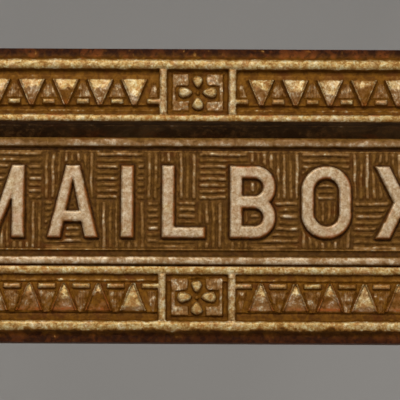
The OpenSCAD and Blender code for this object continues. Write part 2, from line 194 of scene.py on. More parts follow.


# polish of the triangles, counted from the centre block outwards, with painted light on the upper facets and painted
# shade on the lower ones: (facet line, upper, lower, edge, red)
TONES = {
    (1, -1): [(0.62, 0.98, 0.74, 0.70, 0.25), (0.36, 0.86, 0.44, 0.92, 0.30), (0.36, 0.98, 0.24, 0.62, 0.55),
              (0.30, 0.84, 0.34, 0.80, 0.40), (0.48, 0.88, 0.50, 0.66, 0.30), (0.34, 0.92, 0.36, 0.80, 0.30), (0.52, 0.80, 0.48, 0.70, 0.45)],
    (1, 1): [(0.34, 0.70, 0.46, 0.88, 0.35), (0.40, 0.66, 0.42, 0.90, 0.30), (0.55, 0.60, 0.50, 0.74, 0.40),
             (0.30, 0.62, 0.36, 0.84, 0.45), (0.36, 0.86, 0.46, 0.78, 0.35), (0.50, 0.82, 0.44, 0.72, 0.30), (0.34, 0.90, 0.34, 0.82, 0.40)],
    (-1, -1): [(0.86, 0.96, 0.74, 0.62, 0.10), (0.34, 0.94, 0.18, 0.46, 0.90), (0.46, 0.88, 0.28, 0.44, 0.95),
               (0.36, 0.96, 0.28, 0.44, 0.70), (0.46, 0.80, 0.40, 0.60, 0.50), (0.34, 0.90, 0.30, 0.60, 0.70), (0.60, 0.84, 0.48, 0.60, 0.35)],
    (-1, 1): [(0.42, 0.70, 0.50, 0.50, 0.30), (0.42, 0.98, 0.36, 0.56, 0.65), (0.34, 0.96, 0.26, 0.46, 0.90),
              (0.86, 0.80, 0.62, 0.66, 0.35), (0.26, 0.82, 0.40, 0.60, 0.60), (0.44, 0.88, 0.36, 0.62, 0.50), (0.36, 0.84, 0.40, 0.60, 0.55)],
}
LEN = {1: 6.10, -1: 6.50}
DASH = {1: (4.62, 5.85), -1: (5.22, 6.42)}


def patch(c, xc, zw, sgn, w0, w1, skew=0.0):
    """A low lined patch between two triangles."""
    v0, v1 = (0.7, 4.35) if sgn < 0 else (-0.35, 4.75)
    z0, z1 = sorted((zw + sgn * v0, zw + sgn * v1))
    sl = c.win(xc - 2.6, xc + 2.6, z0 - 0.4, z1 + 0.4)
    x, z = c.X[sl] - xc, c.Z[sl]
    v = (z - zw) * sgn
    k = (v - v0) / (v1 - v0)
    hw = w0 + (w1 - w0) * np.clip(k, 0, 1)
    d = np.minimum(np.minimum(hw - np.abs(x - skew * k), (v - v0) * 0.9), v1 - v)
    top = 6.15 + 0.10 * np.cos(2 * math.pi * x / 0.62) + 0.12 * vnoise(c.X[sl], z, 0.6, 9)
    c.lift(sl, d, top, 0.34)
    c.paint[sl] = mix(c.paint[sl], (0.46 if sgn < 0 else 0.34) + 0.20 * vnoise(c.X[sl], z, 0.9, 3), sstep(0, 0.3, d) * sstep(0.0, 0.35, k))
    c.pink[sl] = np.maximum(c.pink[sl], sstep(0, 0.25, d) * 0.6)


def dash(c, x0, x1, zw, sgn, bright=1.0):
    v0, v1 = DASH[-sgn]
    z0, z1 = sorted((zw + sgn * v0, zw + sgn * v1))
    sl = c.win(x0 - 0.5, x1 + 0.5, z0 - 0.5, z1 + 0.5)
    d = rect_sd(c.X[sl], c.Z[sl], x0, x1, z0, z1)
    c.lift(sl, d, crown(d, 6.95, 0.35, 0.55), 0.24)
    c.paint[sl] = mix(c.paint[sl], 0.94 * bright + 0.2 * vnoise(c.X[sl], c.Z[sl], 1.2, 13), sstep(-0.05, 0.12, d))
    c.pink[sl] = mix(c.pink[sl], 0.15, sstep(-0.05, 0.12, d))
    c.red[sl] = np.maximum(c.red[sl], sstep(0, 0.2, d) * 0.45 * sstep(-0.1, 0.6, vnoise(c.X[sl], c.Z[sl], 3.1, 2)))


def petal(c, xc, zc, ax, az, length, width, top=7.0):
    """A plump tear-shaped dome pointing back to the centre of its rosette."""
    r = max(length, width)
    sl = c.win(xc - r, xc + r, zc - r, zc + r)
    X, Z = c.X[sl], c.Z[sl]
    x, z = X - xc, Z - zc
    s = (x * ax + z * az) / (length / 2)
    w = (-x * az + z * ax) / (width / 2) + 0.07 * vnoise(X, Z, 0.9, 3)
    k = 0.80 + 0.34 * np.clip(s, -1, 1) - 0.14 * np.clip(s, 0, 1) ** 3
    g = 1 - np.abs(s) ** 2.4 - np.abs(w / np.clip(k, 0.12, 1)) ** 2.2
    dome = 5.35 + (top - 5.35) * (1 - (1 - np.clip(g, 0, 1)) ** 3.2) ** 0.8
    h = c.h[sl]
    c.h[sl] = np.where(g > 0, np.maximum(h, dome), h)
    f = sstep(0.0, 0.30, g)
    c.paint[sl] = mix(c.paint[sl], 0.92 + 0.12 * vnoise(X, Z, 0.8, 4), f)
    c.pink[sl] = mix(c.pink[sl], 0.1, f)
    c.dark[sl] *= 1 - f


def rosette(c, xc, zc):
    hx, hz = 6.05, 4.40
    sl = c.win(xc - hx - 1.6, xc + hx + 1.6, zc - hz - 1.2, zc + hz + 1.2)
    X, Z = c.X[sl], c.Z[sl]
    x, z = X - xc, Z - zc
    wob = 0.22 * fbm(X, Z, 1.3, 4)
    d = rect_sd(x, z, -hx, hx, -hz, hz) + wob * 0.4
    lines = 0.10 * np.cos(2 * math.pi * x / 0.82) * sstep(0.4, 1.2, np.abs(x) - 2.2)
    top = 6.30 + lines + 0.14 * vnoise(X, Z, 0.62, 8)
    c.lift(sl, d, top, 0.3)
    c.paint[sl] = mix(c.paint[sl], 0.48 + 0.10 * vnoise(X, Z, 0.9, 6), sstep(0, 0.45, d))
    c.pink[sl] = np.maximum(c.pink[sl], 0.6 * sstep(0, 0.2, d))
    # sunk cross and centre between the four corner fields
    ns = 2.10 + wob - np.abs(x)
    ew = np.minimum(np.minimum(1.55 + wob - z, z + 2.15 + wob), 5.15 + 0.5 * wob - np.abs(x))
    mid = 3.0 + wob - np.hypot(x, z * 1.05)
    e = np.maximum(np.maximum(ns, ew), mid)
    bowl = sstep(-0.16, 0.16, e) * sstep(-0.1, 0.1, d)
    c.h[sl] = mix(c.h[sl], 5.45 + 0.30 * sstep(2.0, 0.2, np.minimum(e, 2)), bowl)
    c.paint[sl] = mix(c.paint[sl], 0.20 + 0.10 * vnoise(X, Z, 0.8, 11), bowl)
    c.dark[sl] = np.maximum(c.dark[sl], 0.12 * bowl)
    c.pink[sl] *= 1 - bowl
    petal(c, xc - 0.05, zc + 2.50, 0, 1, 2.95, 3.05)
    petal(c, xc, zc - 2.62, 0, -1, 3.2, 3.35)
    petal(c, xc - 2.95, zc, -1, 0, 3.6, 3.0)
    petal(c, xc + 2.80, zc, 1, 0, 3.7, 3.0)
    # small hub where the petals meet
    r = np.hypot(c.X[sl] - xc, c.Z[sl] - zc + 0.1)
    c.lift(sl, 0.42 - r, 6.1, 0.3, 0.30)


def bar(c, x0, x1, z0, z1, top=7.12, paint=0.78):
    sl = c.win(x0 - 0.6, x1 + 0.6, z0 - 0.6, z1 + 0.6)
    X, Z = c.X[sl], c.Z[sl]
    d = rect_sd(X, Z, x0, x1, z0, z1) + 0.05 * vnoise(X, Z, 1.4, 2)
    c.lift(sl, d, crown(d, top, 0.45, 0.8), 0.26)
    c.paint[sl] = np.maximum(c.paint[sl], mix(0, paint, sstep(0, 0.2, d)))
    c.pink[sl] = np.maximum(c.pink[sl], 0.35 * sstep(0, 0.2, d))


def draw_plate(c):
    X, Z = c.X, c.Z
    u = np.minimum(W2 - np.abs(X), H2 - np.abs(Z))
    uw = u + (0.10 * fbm(X, Z, 4.6, 0) + 0.09 * vnoise(X, Z, 1.3, 22)) * sstep(0.4, 1.6, u)
    q = np.maximum(np.abs(X) - SX, np.maximum(Z - ST, -SB - Z))
    qw = q + (0.09 * fbm(X, Z, 3.9, 3) + 0.06 * vnoise(X, Z, 1.1, 20)) * sstep(0.25, 0.9, q)
    v = np.clip((uw - BEVEL) / RIDGE_O, 0, 1)
    outer = np.where(uw < BEVEL, 1.2 + 5.65 * np.clip(uw / BEVEL, 0, 1), 6.85 + 0.45 * (1 - np.abs(2 * v - 1) ** 3.4))
    outer = mix(outer, FLOOR, sstep(5.40, 5.80, uw))
    wider = 0.18 * (Z < -SB) * (np.abs(X) < SX)
    v = np.clip(qw / (RIDGE_I + wider), 0, 1)
    inner = 6.84 + 0.33 * (1 - np.abs(2 * v - 1) ** 4)
    inner = mix(inner, 5.95, sstep(1.58, 1.90, qw - wider))
    ql = np.where((Z < -SB) & (np.abs(X) < SX), 3.3, 2.62)
    inner = inner + 0.17 * np.exp(-((qw - ql) / 0.17) ** 2) + 0.03 * np.cos(qw * 16) * sstep(1.9, 2.1, qw)
    inner = mix(inner, FLOOR, sstep(0.23, 0.48, qw - ql))
    c.h[:] = np.maximum(outer, inner)
    ridge_o = sstep(3.0, 3.35, uw) * sstep(5.6, 5.3, uw)
    ridge_i = sstep(-0.05, 0.25, qw) * sstep(1.80, 1.58, qw - wider)
    c.paint[:] = 0.12 + 0.66 * np.maximum(ridge_o, ridge_i)
    floor = sstep(5.75, 6.1, uw) * sstep(1.9, 2.1, qw)
    c.paint[:] = mix(c.paint, 0.20, floor)
    c.paint[:] += 0.16 * np.exp(-((qw - ql) / 0.22) ** 2) * (q > 1.9) * (0.8 + 0.8 * fbm(X, Z, 3.0, 9))
    blotch = fbm(X, Z, 3.4, 21)
    # painted shade: the bottom bevel, facing down, is made wider and darker; the rest of the bevels' darkness is patina
    low_edge = (Z < -30) * (np.abs(X) < W2 - 3)
    bevel_wear_and_shade = uw + (0.55 + 0.45 * low_edge) * blotch + 0.25 * vnoise(X, Z, 1.0, 3) - 0.45 * low_edge
    bev = sstep(3.45, 2.75, bevel_wear_and_shade)
    c.paint[:] = mix(c.paint, 0.08 + 0.20 * sstep(2.0, 3.2, bevel_wear_and_shade), bev)
    c.dark[:] = bev * mix(1.0, 0.45, sstep(1.0, 3.0, bevel_wear_and_shade))
    fleck = sstep(0.60 - 0.22 * (Z > 0), 0.85, vnoise(X, Z, 0.85, 2)) * sstep(-0.05, 0.45, fbm(X, Z, 5.0, 7)) * bev * sstep(0.5, 1.2, u)
    c.paint[:] = mix(c.paint, 0.52, fleck)
    c.dark[:] *= 1 - 0.8 * fleck
    # painted shade: a dark band on the floor below the lower row of triangles, and dark strips along the foot of the
    # outer ridge and the outer foot of the inner ridge
    c.dark[:] = np.maximum(c.dark, 0.30 * (Z < 0) * sstep(5.5, 5.8, uw) * sstep(7.6, 7.2, uw) * (np.abs(X) < CX))
    c.dark[:] = np.maximum(c.dark, sstep(5.25, 5.5, uw) * sstep(6.6, 5.9, uw) * 0.20)
    c.dark[:] = np.maximum(c.dark, sstep(1.6, 1.85, qw - wider) * sstep(2.3, 2.0, qw - wider) * 0.3)
    c.red[:] = (1 - 0.6 * fleck) * np.where(Z < -30, 0.45, 1.0) * bev * np.clip(0.75 * sstep(0.05, 0.5, blotch) + sstep(0.45, 0.7, fbm(X, Z, 1.5, 13)), 0, 1) * 0.9
    edge_red = sstep(1.05, 1.5, qw) * sstep(1.9, 1.6, qw) * sstep(0.0, 0.35, fbm(X, Z, 4.2, 5))
    edge_red = edge_red * np.where(Z < 0, 0.5, 1.0)
    c.red[:] = np.maximum(c.red, 0.85 * edge_red)
    # painted light: the lower inner ridge is painted lighter against the shade the flap's rim casts on it; the stained
    # edge is dulled
    c.paint[:] = c.paint - 0.25 * edge_red + 0.26 * ridge_i * (Z < 0) * (np.abs(X) < IX)

    # long rails
    first = BLOCK / 2 + BAR / 2 + 6.83
    for up in (1, -1):
        zw, sgn = (CZ - 2.3) * up, -up
        length = LEN[up]
        # the slightly raised ground that the triangles stand on
        za, zb = sorted((zw + up * (1.1 if up > 0 else 0.35), zw + sgn * (length + 0.05)))
        for s in (1, -1):
            x0, x1 = sorted((s * (BLOCK / 2 + 0.5), s * (IX - 0.5)))
            sl = c.win(x0 - 0.4, x1 + 0.4, za - 0.5, zb + 0.5)
            d = rect_sd(c.X[sl], c.Z[sl] + 0.06 * vnoise(c.X[sl], c.Z[sl], 2.1, 17), x0, x1, za, zb)
            c.lift(sl, d, 5.9, 0.3, 0.19)
            # painted shadow: a dark strip sunk just below the platform's lower edge, stronger on the upper rail
            low = sstep(0.05, -0.1, c.Z[sl] - za) * sstep(-1.3, -0.9, c.Z[sl] - za) * (c.X[sl] > x0) * (c.X[sl] < x1)
            c.h[sl] = np.where(low > 0, np.minimum(c.h[sl], 5.9 - 0.5 * low), c.h[sl])
            c.dark[sl] = np.maximum(c.dark[sl], (0.42 if up > 0 else 0.15) * low)
        top_z = zw if up > 0 else zw + length
        for s in (1, -1):
            for k in range(COUNT):
                xc = s * (first + k * PITCH)
                sl = c.win(xc - 3.7, xc + 3.7, min(zw, zw + sgn * length) - 0.6, max(zw, zw + sgn * length) + 0.6)
                x, z = c.X[sl] - xc, c.Z[sl]
                wob = 0.05 * vnoise(c.X[sl], z, 1.5, 6)
                wedge(c, sl, x + wob, (z - zw) * sgn, (top_z - z) / length, length, 3.16, TONES[up, s][k])
            for k in range(COUNT - 1):
                xm = s * (first + (k + 0.5) * PITCH)
                patch(c, xm, zw, sgn, 0.55, 2.15)
                hl = 1.45 if up > 0 else 2.05
                dash(c, xm - hl, xm + hl, zw, sgn, bright=0.82 + 0.2 * math.sin(k * 2.3 + s + up))
            e = BLOCK / 2 + BAR
            patch(c, s * (e + 1.25), zw, sgn, 0.35, 1.15, skew=s * 0.35)
            reach = 3.0 if up > 0 else 3.95
            dash(c, *sorted((s * (e - 0.3), s * (e + reach))), zw, sgn)
            g = IX - BAR
            patch(c, s * (g - 1.25), zw, sgn, 0.35, 1.15, skew=-s * 0.35)
            dash(c, *sorted((s * (g + 0.3), s * (g - reach))), zw, sgn)
        # bars and rosettes
        z0, z1 = sorted((up * (CZ + 0.3), (IZT if up > 0 else -IZB) - up * 0.3))
        for s in (1, -1):
            bar(c, *sorted((s * (BLOCK / 2 - 0.1), s * (BLOCK / 2 + BAR + 0.2))), z0, z1)
            bar(c, *sorted((s * (IX + 0.1), s * (IX - BAR - 0.2))), z0, z1)
            bz = (IZT, IZT - BAR) if up > 0 else (-IZB, -IZB + BAR)
            bar(c, *sorted((s * (IX - 0.3), s * (CX + 0.3))), *sorted(bz))
        zc = (CZ + IZT) / 2 if up > 0 else -(CZ + IZB) / 2
        for xc in (0.0, (IX + CX) / 2, -(IX + CX) / 2):
            rosette(c, xc, zc)
    # short ends
    for s in (1, -1):
        for zc in (11.4, -11.2):
            sl = c.win(*sorted((s * (CX - 0.5), s * (CX - 11.5))), zc - 4.8, zc + 4.8)
            v = CX - np.abs(c.X[sl]) - 2.5
            a = c.Z[sl] - zc
            wedge(c, sl, a, v, 0.5 - a / 8.2, 7.9, 4.1, (0.42, 0.86, 0.42, 0.74, 0.45))
        sl = c.win(*sorted((s * IX, s * CX)), -8, 8)
        r = np.hypot(c.X[sl] - s * SCREW_X, c.Z[sl])
        c.lift(sl, 5.35 - r, 6.6 + 0.55 * np.exp(-((r - 4.75) / 0.42) ** 2), 0.26)
        c.paint[sl] = mix(c.paint[sl], 0.30 + 0.6 * np.exp(-((r - 4.75) / 0.5) ** 2), sstep(5.5, 5.25, r))
        c.h[sl] = np.where(r < 3.75, np.minimum(c.h[sl], 6.75 - (3.75 - r) * 1.05), c.h[sl])
        for zc in (6.75, -6.6):
            x0, x1 = sorted((s * (SCREW_X - 3.6), s * (SCREW_X + 3.6)))
            sl = c.win(x0 - 0.5, x1 + 0.5, zc - 1.2, zc + 1.2)
            d = rect_sd(c.X[sl], c.Z[sl], x0, x1, zc - 0.6, zc + 0.6)
            c.lift(sl, d, crown(d, 6.7, 0.3, 0.5), 0.24)
            c.paint[sl] = mix(c.paint[sl], 0.8, sstep(-0.05, 0.12, d))
    # cast skin
    skin = 0.075 * fbm(X, Z, 1.9, 10) + 0.055 * fbm(X, Z, 0.7, 14, 2)
    c.h[:] = c.h + skin * sstep(0.1, 0.8, u)
    c.h[:] = np.minimum(c.h, 7.49)
    c.h[:] = np.where(q < -1e-6, 2.8, c.h)
    c.paint[:] = np.where(q < -1e-6, 0.0, c.paint)


# ---------------------------------------------------------------- flap relief
LET_H, LET_T, LET_Z = 17.1, 3.0, -10.2


def word_sd(x, z):
    """Distance to the flap's generic word, positive inside a letter."""
    h, t = LET_H, LET_T
    z = z - LET_Z
    d = np.full(x.shape, -1e3)

    def add(v):
        nonlocal d
        d = np.maximum(d, v)

    def box(x0, x1, z0, z1):
        add(rect_sd(x, z, x0, x1, z0, z1))

    hz = 2.65
    m = -53.7
    w = 13.2
    box(m, m + t, 0, h)
    box(m + w - t, m + w, 0, h)
    add(poly_sd(x, z, [(m, h), (m + t, h), (m + w / 2, h * 0.36), (m + w / 2, 0.6), (m, h - 0.6)]))
    add(poly_sd(x, z, [(m + w - t, h), (m + w, h), (m + w, h - 0.6), (m + w / 2, 0.6), (m + w / 2, h * 0.36)]))
    m, w = -35.2, 12.0
    add(poly_sd(x, z, [(m, 0), (m + t * 1.05, 0), (m + w / 2 + 0.01, h * 0.79), (m + w / 2 + t * 0.55, h), (m + w / 2 - t * 0.55, h)]))
    add(poly_sd(x, z, [(m + w, 0), (m + w - t * 1.05, 0), (m + w / 2 - 0.01, h * 0.79), (m + w / 2 - t * 0.55, h), (m + w / 2 + t * 0.55, h)]))
    add(poly_sd(x, z, [(m + w * 0.2, h * 0.22), (m + w * 0.8, h * 0.22), (m + w * 0.74, h * 0.22 + hz), (m + w * 0.26, h * 0.22 + hz)]))
    box(-17.9, -17.9 + t, 0, h)
    box(-8.3, -8.3 + t, 0, h)
    box(-8.3, -8.3 + 10.2, 0, hz)
    m, w = 7.6, 10.8
    box(m, m + t, 0, h)
    r = (h + t) / 4
    for z0 in (0, h - 2 * r):
        cx, cz = m + w - r, z0 + r
        out = np.maximum(rect_sd(x, z, m, cx, z0, z0 + 2 * r), r - np.hypot(x - cx, z - cz))
        hole = np.maximum(rect_sd(x, z, m + t, cx, z0 + t, z0 + 2 * r - t), (r - t) - np.hypot(x - cx, z - cz))
        add(np.minimum(out, -hole))
    m, w = 24.4, 11.8
    r = w / 2
    zc = np.clip(z, r, h - r)
    rad = np.hypot(x - m - r, z - zc)
    add(np.minimum(r - rad, rad - (r - t)))
    m, w, dd = 41.7, 12.0, t * 1.14
    add(poly_sd(x, z, [(m, 0), (m + dd, 0), (m + w, h), (m + w - dd, h)]))
    add(poly_sd(x, z, [(m + w - dd, 0), (m + w, 0), (m + dd, h), (m, h)]))
    return d


def draw_flap(c):
    X, Z = c.X, c.Z
    wob = 0.05 * fbm(X, Z, 4.1, 16)
    mt = np.minimum((FT - Z) / 2.15, np.minimum((Z - FB) / 2.15, (FX - np.abs(X)) / 2.0))
    m = mt + wob * sstep(0.25, 0.6, mt)
    rim = 6.1 + 0.45 * (1 - np.abs(2 * np.clip(m, 0, 1) - 1) ** 3)
    rim = rim - 0.28 * sstep(0.20, 0.0, m) * (Z < 0)
    h = mix(rim, 5.2, sstep(0.94, 1.10, m))
    h = mix(h, 5.3, sstep(1.45, 1.6, m))
    streak = fbm(X, Z * 3.0, 4.5, 8)
    # painted shade: the top rim is painted much darker, lightening towards its lower edge, as shaded by the plate's
    # edge above it
    rim_tone = np.where(Z > FT - 2.2, 0.08 + 0.25 * sstep(0.15, 0.8, m) + 0.22 * streak, 0.47 + 0.36 * streak)
    paint = 0.10 + rim_tone * sstep(0.02, 0.2, m) * sstep(1.02, 0.85, m)
    pink = 0.9 * sstep(1.1, 0.9, m)
    # basket weave
    panel = sstep(0.0, 0.25, np.minimum(np.minimum(Z - Z_LO, Z_HI - Z), FX - 2.95 - np.abs(X)))
    i = np.floor(X / CELL)
    top_row = Z > Z_MID
    z0 = np.where(top_row, Z_MID, Z_LO)
    z1 = np.where(top_row, Z_HI, Z_MID)
    sx, sz = X / CELL - i, np.clip((Z - z0) / (z1 - z0), 0, 0.9999)
    across = ((i + np.where(top_row, 0, 1)).astype(int) % 2) == 0
    r = np.where(across, sz, sx) * RIBS + 0.10 * vnoise(X, Z, 3.1, 22)
    along = np.where(across, sx, sz)
    span = np.where(across, CELL, z1 - z0)
    k = np.floor(r)
    f = r - k
    prof = np.clip(1 - (np.abs(2 * f - 1) * 1.30) ** 2, 0, 1) ** 0.75
    e = np.minimum(along, 1 - along) * span
    taper = sstep(0.02, 0.8, e) * (0.80 + 0.20 * np.sin(math.pi * along))
    vary = 0.5 + 0.5 * np.sin(i * 12.9 + k * 78.2 + np.where(top_row, 3.7, 1.1) * 5.3)
    along_n = fbm(X, Z, 1.9, 18)
    rib = prof * taper * (0.74 + 0.20 * vary + 0.22 * along_n + 0.10 * vnoise(X, Z, 0.7, 2))
    d = word_sd(X, Z)
    clear = sstep(0.30, 0.95, -d)
    # worn, lumpy ground close to the letters
    lump = np.clip(vnoise(X, Z, 0.95, 7), 0, 1) * sstep(1.5, 0.7, -d) * sstep(0.35, 0.6, -d)
    rib = np.maximum(rib * (1 - 0.5 * sstep(1.3, 0.5, -d)), 0.75 * lump)
    h = h + 0.64 * rib * panel * clear
    fleck = vnoise(X, Z, 0.8, 12)
    paint = mix(paint, 0.12 + 0.40 * np.clip(rib, 0, 1) ** 1.8 * np.clip(0.34 + 0.60 * vary + 0.40 * fleck, 0, 1.3) + 0.06 * along_n, panel * clear)
    paint = mix(paint, 0.10, panel * (1 - clear))
    dark = np.where(Z > 0, 0.75, 0.55) * sstep(0.9, 1.08, m) * sstep(1.56, 1.45, m)
    dark = np.maximum(dark, 0.85 * panel * (1 - clear) * sstep(-0.75, -0.3, d))
    dark = np.maximum(dark, 0.46 * panel * clear * (1 - np.clip(rib * 1.15, 0, 1)) ** 1.2)
    pink = mix(pink, 0.30 + 0.3 * vary, panel)
    # thin lines along the panel's top and bottom
    for zl, amp in ((Z_LO + 0.05, 0.55), (Z_HI - 0.02, 0.30)):
        ln = np.exp(-((Z - zl) / 0.2) ** 4) * (np.abs(X) < FX - 2.9)
        h = h + amp * ln * (1 - 0.5 * rib * panel)
        paint = np.maximum(paint, 0.42 * ln)
    # letters
    f = sstep(-0.16, 0.10, d)
    face = crown(d, 6.84, 0.34, 0.62) + 0.03 * fbm(X, Z, 1.7, 20)
    h = mix(h, face, f)
    paint = mix(paint, 0.90 + 0.10 * fbm(X, Z, 2.6, 6), sstep(-0.06, 0.12, d))
    pink = mix(pink, 1.0, sstep(-0.05, 0.35, d))
    skin = 0.045 * fbm(X, Z, 2.2, 11) + 0.028 * fbm(X, Z, 0.75, 15, 2)
    c.h[:] = h + skin * sstep(0.02, 0.3, mt) * (1 - 0.75 * f)
    # the letters are painted darker and redder towards their lower right edges, painted shade on the side away from the
    # lamp at the upper left, with grubby patches besides
    facing = sstep(0.0, 0.22, d - word_sd(X + 0.25, Z - 0.25))
    letter_grime_and_shade = f * np.clip(sstep(0.90, 0.20, d) * sstep(-0.30, 0.35, fbm(X, Z, 3.2, 23) + 0.75 * facing - 0.30) + 0.40 * sstep(0.34, 0.60, fbm(X, Z - 3, 4.4, 19)), 0, 1)
    c.paint[:], c.pink[:] = paint - 0.52 * letter_grime_and_shade, pink
    c.red[:] = 0.7 * letter_grime_and_shade
    c.dark[:] = dark * (1 - f)


# ---------------------------------------------------------------- building meshes
def mesh_from(name, verts, quads=None, tris=None):
    verts = np.asarray(verts, np.float32)
    parts, starts, n = [], [], 0
    for arr in (quads, tris):
        if arr is None or len(arr) == 0:
            continue
        arr = np.asarray(arr, np.int32)
        parts.append(arr.ravel())
        starts.append(n + np.arange(len(arr)) * arr.shape[1])
        n += arr.size
    loops, start = np.concatenate(parts), np.concatenate(starts)
    me = bpy.data.meshes.new(name)
    me.vertices.add(len(verts))
    me.vertices.foreach_set("co", (verts * MM).ravel())
    me.loops.add(len(loops))
    me.loops.foreach_set("vertex_index", loops.astype(np.int32))
    me.polygons.add(len(start))
    me.polygons.foreach_set("loop_start", start.astype(np.int32))
    me.update(calc_edges=True)
    me.validate()
    return me


def lines(stops, step):
    """Grid lines through every stop, no further apart than step (or the pair's own step)."""
    out = []
    for n, (a, b) in enumerate(zip(stops, stops[1:])):
        s = step(0.5 * (a + b)) if callable(step) else step
        k = max(1, int(math.ceil((b - a) / s - 1e-6)))
        out += [a + (b - a) * t / k for t in range(k)]
    return np.array(out + [stops[-1]])


def grid_faces(mask, base, flip):
    """Quads of the kept cells; base is the index of grid vertex 0."""
    nz, nx = mask.shape
    j, i = np.nonzero(mask)
    n = nx + 1
    a = base + j * n + i
    q = np.stack([a, a + 1, a + n + 1, a + n], 1)
    return q[:, ::-1] if flip else q


def strip(fa, pa, fb, pb):
    """Triangles between two vertex chains with rising parameters that share their ends."""
    out, i, j = [], 0, 0
    while i < len(fa) - 1 or j < len(fb) - 1:
        if j == len(fb) - 1 or (i < len(fa) - 1 and pa[i + 1] <= pb[j + 1] + 1e-9):
            out.append((fa[i], fa[i + 1], fb[j]))
            i += 1
        else:
            out.append((fa[i], fb[j + 1], fb[j]))
            j += 1
    return out


def relief_solid(name, front, fmask, bx, bz, back_y, bmask, sides):
    """A closed solid between a fine front height map and a coarse back; sides lists the straight runs of its outline."""
    FXs, FZs = front.xs, front.zs
    vf = np.stack([front.X.ravel(), -front.h.ravel(), front.Z.ravel()], 1)
    BX, BZ = np.meshgrid(bx, bz)
    vb = np.stack([BX.ravel(), back_y(BX, BZ).ravel(), BZ.ravel()], 1)
    verts = np.concatenate([vf, vb])
    quads = [grid_faces(fmask, 0, False), grid_faces(bmask, len(vf), True)]
    tris = []
    for x0, z0, x1, z1 in sides:
        chains = []
        for xs, zs, base in ((FXs, FZs, 0), (bx, bz, len(vf))):
            n = len(xs)
            if abs(z0 - z1) < 1e-9:
                j = int(np.argmin(np.abs(zs - z0)))
                lo, hi = sorted((x0, x1))
                ii = np.nonzero((xs >= lo - 1e-7) & (xs <= hi + 1e-7))[0]
                chains += [list(base + j * n + ii), list(xs[ii])]
            else:
                i = int(np.argmin(np.abs(xs - x0)))
                lo, hi = sorted((z0, z1))
                jj = np.nonzero((zs >= lo - 1e-7) & (zs <= hi + 1e-7))[0]
                chains += [list(base + jj * n + i), list(zs[jj])]
        tris += strip(*chains)
    quads = np.concatenate(quads)
    tris = np.array(tris, np.int64)
    used = np.zeros(len(verts), bool)
    used[quads.ravel()] = True
    used[tris.ravel()] = True
    remap = np.cumsum(used) - 1
    me = mesh_from(name, verts[used], remap[quads], remap[tris])
    return me


def tidy(me, limit=None, sharp=50):
    """Consistent outward normals, an optional face limit, and smooth shading with sharp edges."""
    bm = bmesh.new()
    bm.from_mesh(me)
    bmesh.ops.recalc_face_normals(bm, faces=bm.faces)
    if limit:
        bmesh.ops.triangulate(bm, faces=bm.faces)
    bm.to_mesh(me)
    n = len(bm.faces)
    bm.free()
    if limit and n > limit:
        ob = bpy.data.objects.new("tmp", me)
        bpy.context.collection.objects.link(ob)
        mod = ob.modifiers.new("d", "DECIMATE")
        mod.ratio = limit / n
        dg = bpy.context.evaluated_depsgraph_get()
        new = bpy.data.meshes.new_from_object(ob.evaluated_get(dg))
        bpy.data.objects.remove(ob)
        bpy.data.meshes.remove(me)
        me = new
    me.shade_smooth()
    me.set_sharp_from_angle(angle=math.radians(sharp))
    return me


def raster(draw, x2, z0, z1, step=0.16):
    c = Canvas(np.arange(-x2, x2 + step, step), np.arange(z0, z1 + step, step))
    draw(c)
    return c


def blur(a, k):
    """Box blur by k cells each way, run twice."""
    for _ in range(2):
        for ax in (0, 1):
            p = np.pad(a, [(k + 1, k) if ax == n else (0, 0) for n in (0, 1)], mode="edge")
            s = np.cumsum(p, axis=ax)
            n = a.shape[ax]
            hi = np.take(s, np.arange(2 * k + 1, 2 * k + 1 + n), axis=ax)
            lo = np.take(s, np.arange(0, n), axis=ax)
            a = (hi - lo) / (2 * k + 1)
    return a


def sample(field, c, x, z):
    fx = np.clip((x - c.xs[0]) / (c.xs[1] - c.xs[0]), 0, len(c.xs) - 1.001)
    fz = np.clip((z - c.zs[0]) / (c.zs[1] - c.zs[0]), 0, len(c.zs) - 1.001)
    i, j = fx.astype(int), fz.astype(int)
    u, v = fx - i, fz - j
    return (field[j, i] * (1 - u) + field[j, i + 1] * u) * (1 - v) + (field[j + 1, i] * (1 - u) + field[j + 1, i + 1] * u) * v


def finish_and_light_layers(me, c):
    """Writes the finish layers of canvas c, painted light and shade among them, to the mesh's points; anything off the
    front face is unpolished.
    """
    step = c.xs[1] - c.xs[0]
    gz, gx = np.gradient(c.h, step)
    slope = np.hypot(gx, gz)
    prom = c.h - blur(c.h, int(round(0.9 / step)))
    wear_and_light = c.paint + 0.25 * np.clip(prom, -0.6, 0.6) - 0.22 * sstep(0.7, 2.0, blur(slope, 1))
    co = np.empty(len(me.vertices) * 3, np.float32)
    me.vertices.foreach_get("co", co)
    co = co.reshape(-1, 3) / MM
    x, y, z = co[:, 0], co[:, 1], co[:, 2]
    on_front = np.abs(-y - sample(c.h, c, x, z)) < 0.6
    # the back and the edges: dull cast skin, tarnished in wide patches, rubbed where it bears on the door
    wide, tide = fbm(x, z, 15.0, 6), fbm(x + 40, z - y, 5.5, 12)
    contact = sstep(-0.30, -0.10, y) * sstep(0.30, 0.10, y)
    rest = {"wear_and_light": 0.17 + 0.05 * wide + 0.13 * contact, "pink": 0.45 + 0.0 * x, "red": np.clip(0.10 + 1.1 * (tide - 0.15), 0, 0.7),
            "patina_and_shade": np.clip(0.30 + 0.55 * wide - 0.25 * contact, 0.05, 0.8), "raw": 1.0 + 0.0 * x}
    for name, field in (("wear_and_light", wear_and_light), ("pink", c.pink), ("red", c.red), ("patina_and_shade", np.maximum(c.dark, np.clip(-prom * 0.3, 0, 1))), ("raw", 0 * c.h)):
        v = np.where(on_front, sample(field, c, x, z), rest[name])
        a = me.attributes.new(name, "FLOAT", "POINT")
        a.data.foreach_set("value", np.clip(v, 0, 1.2).astype(np.float32))


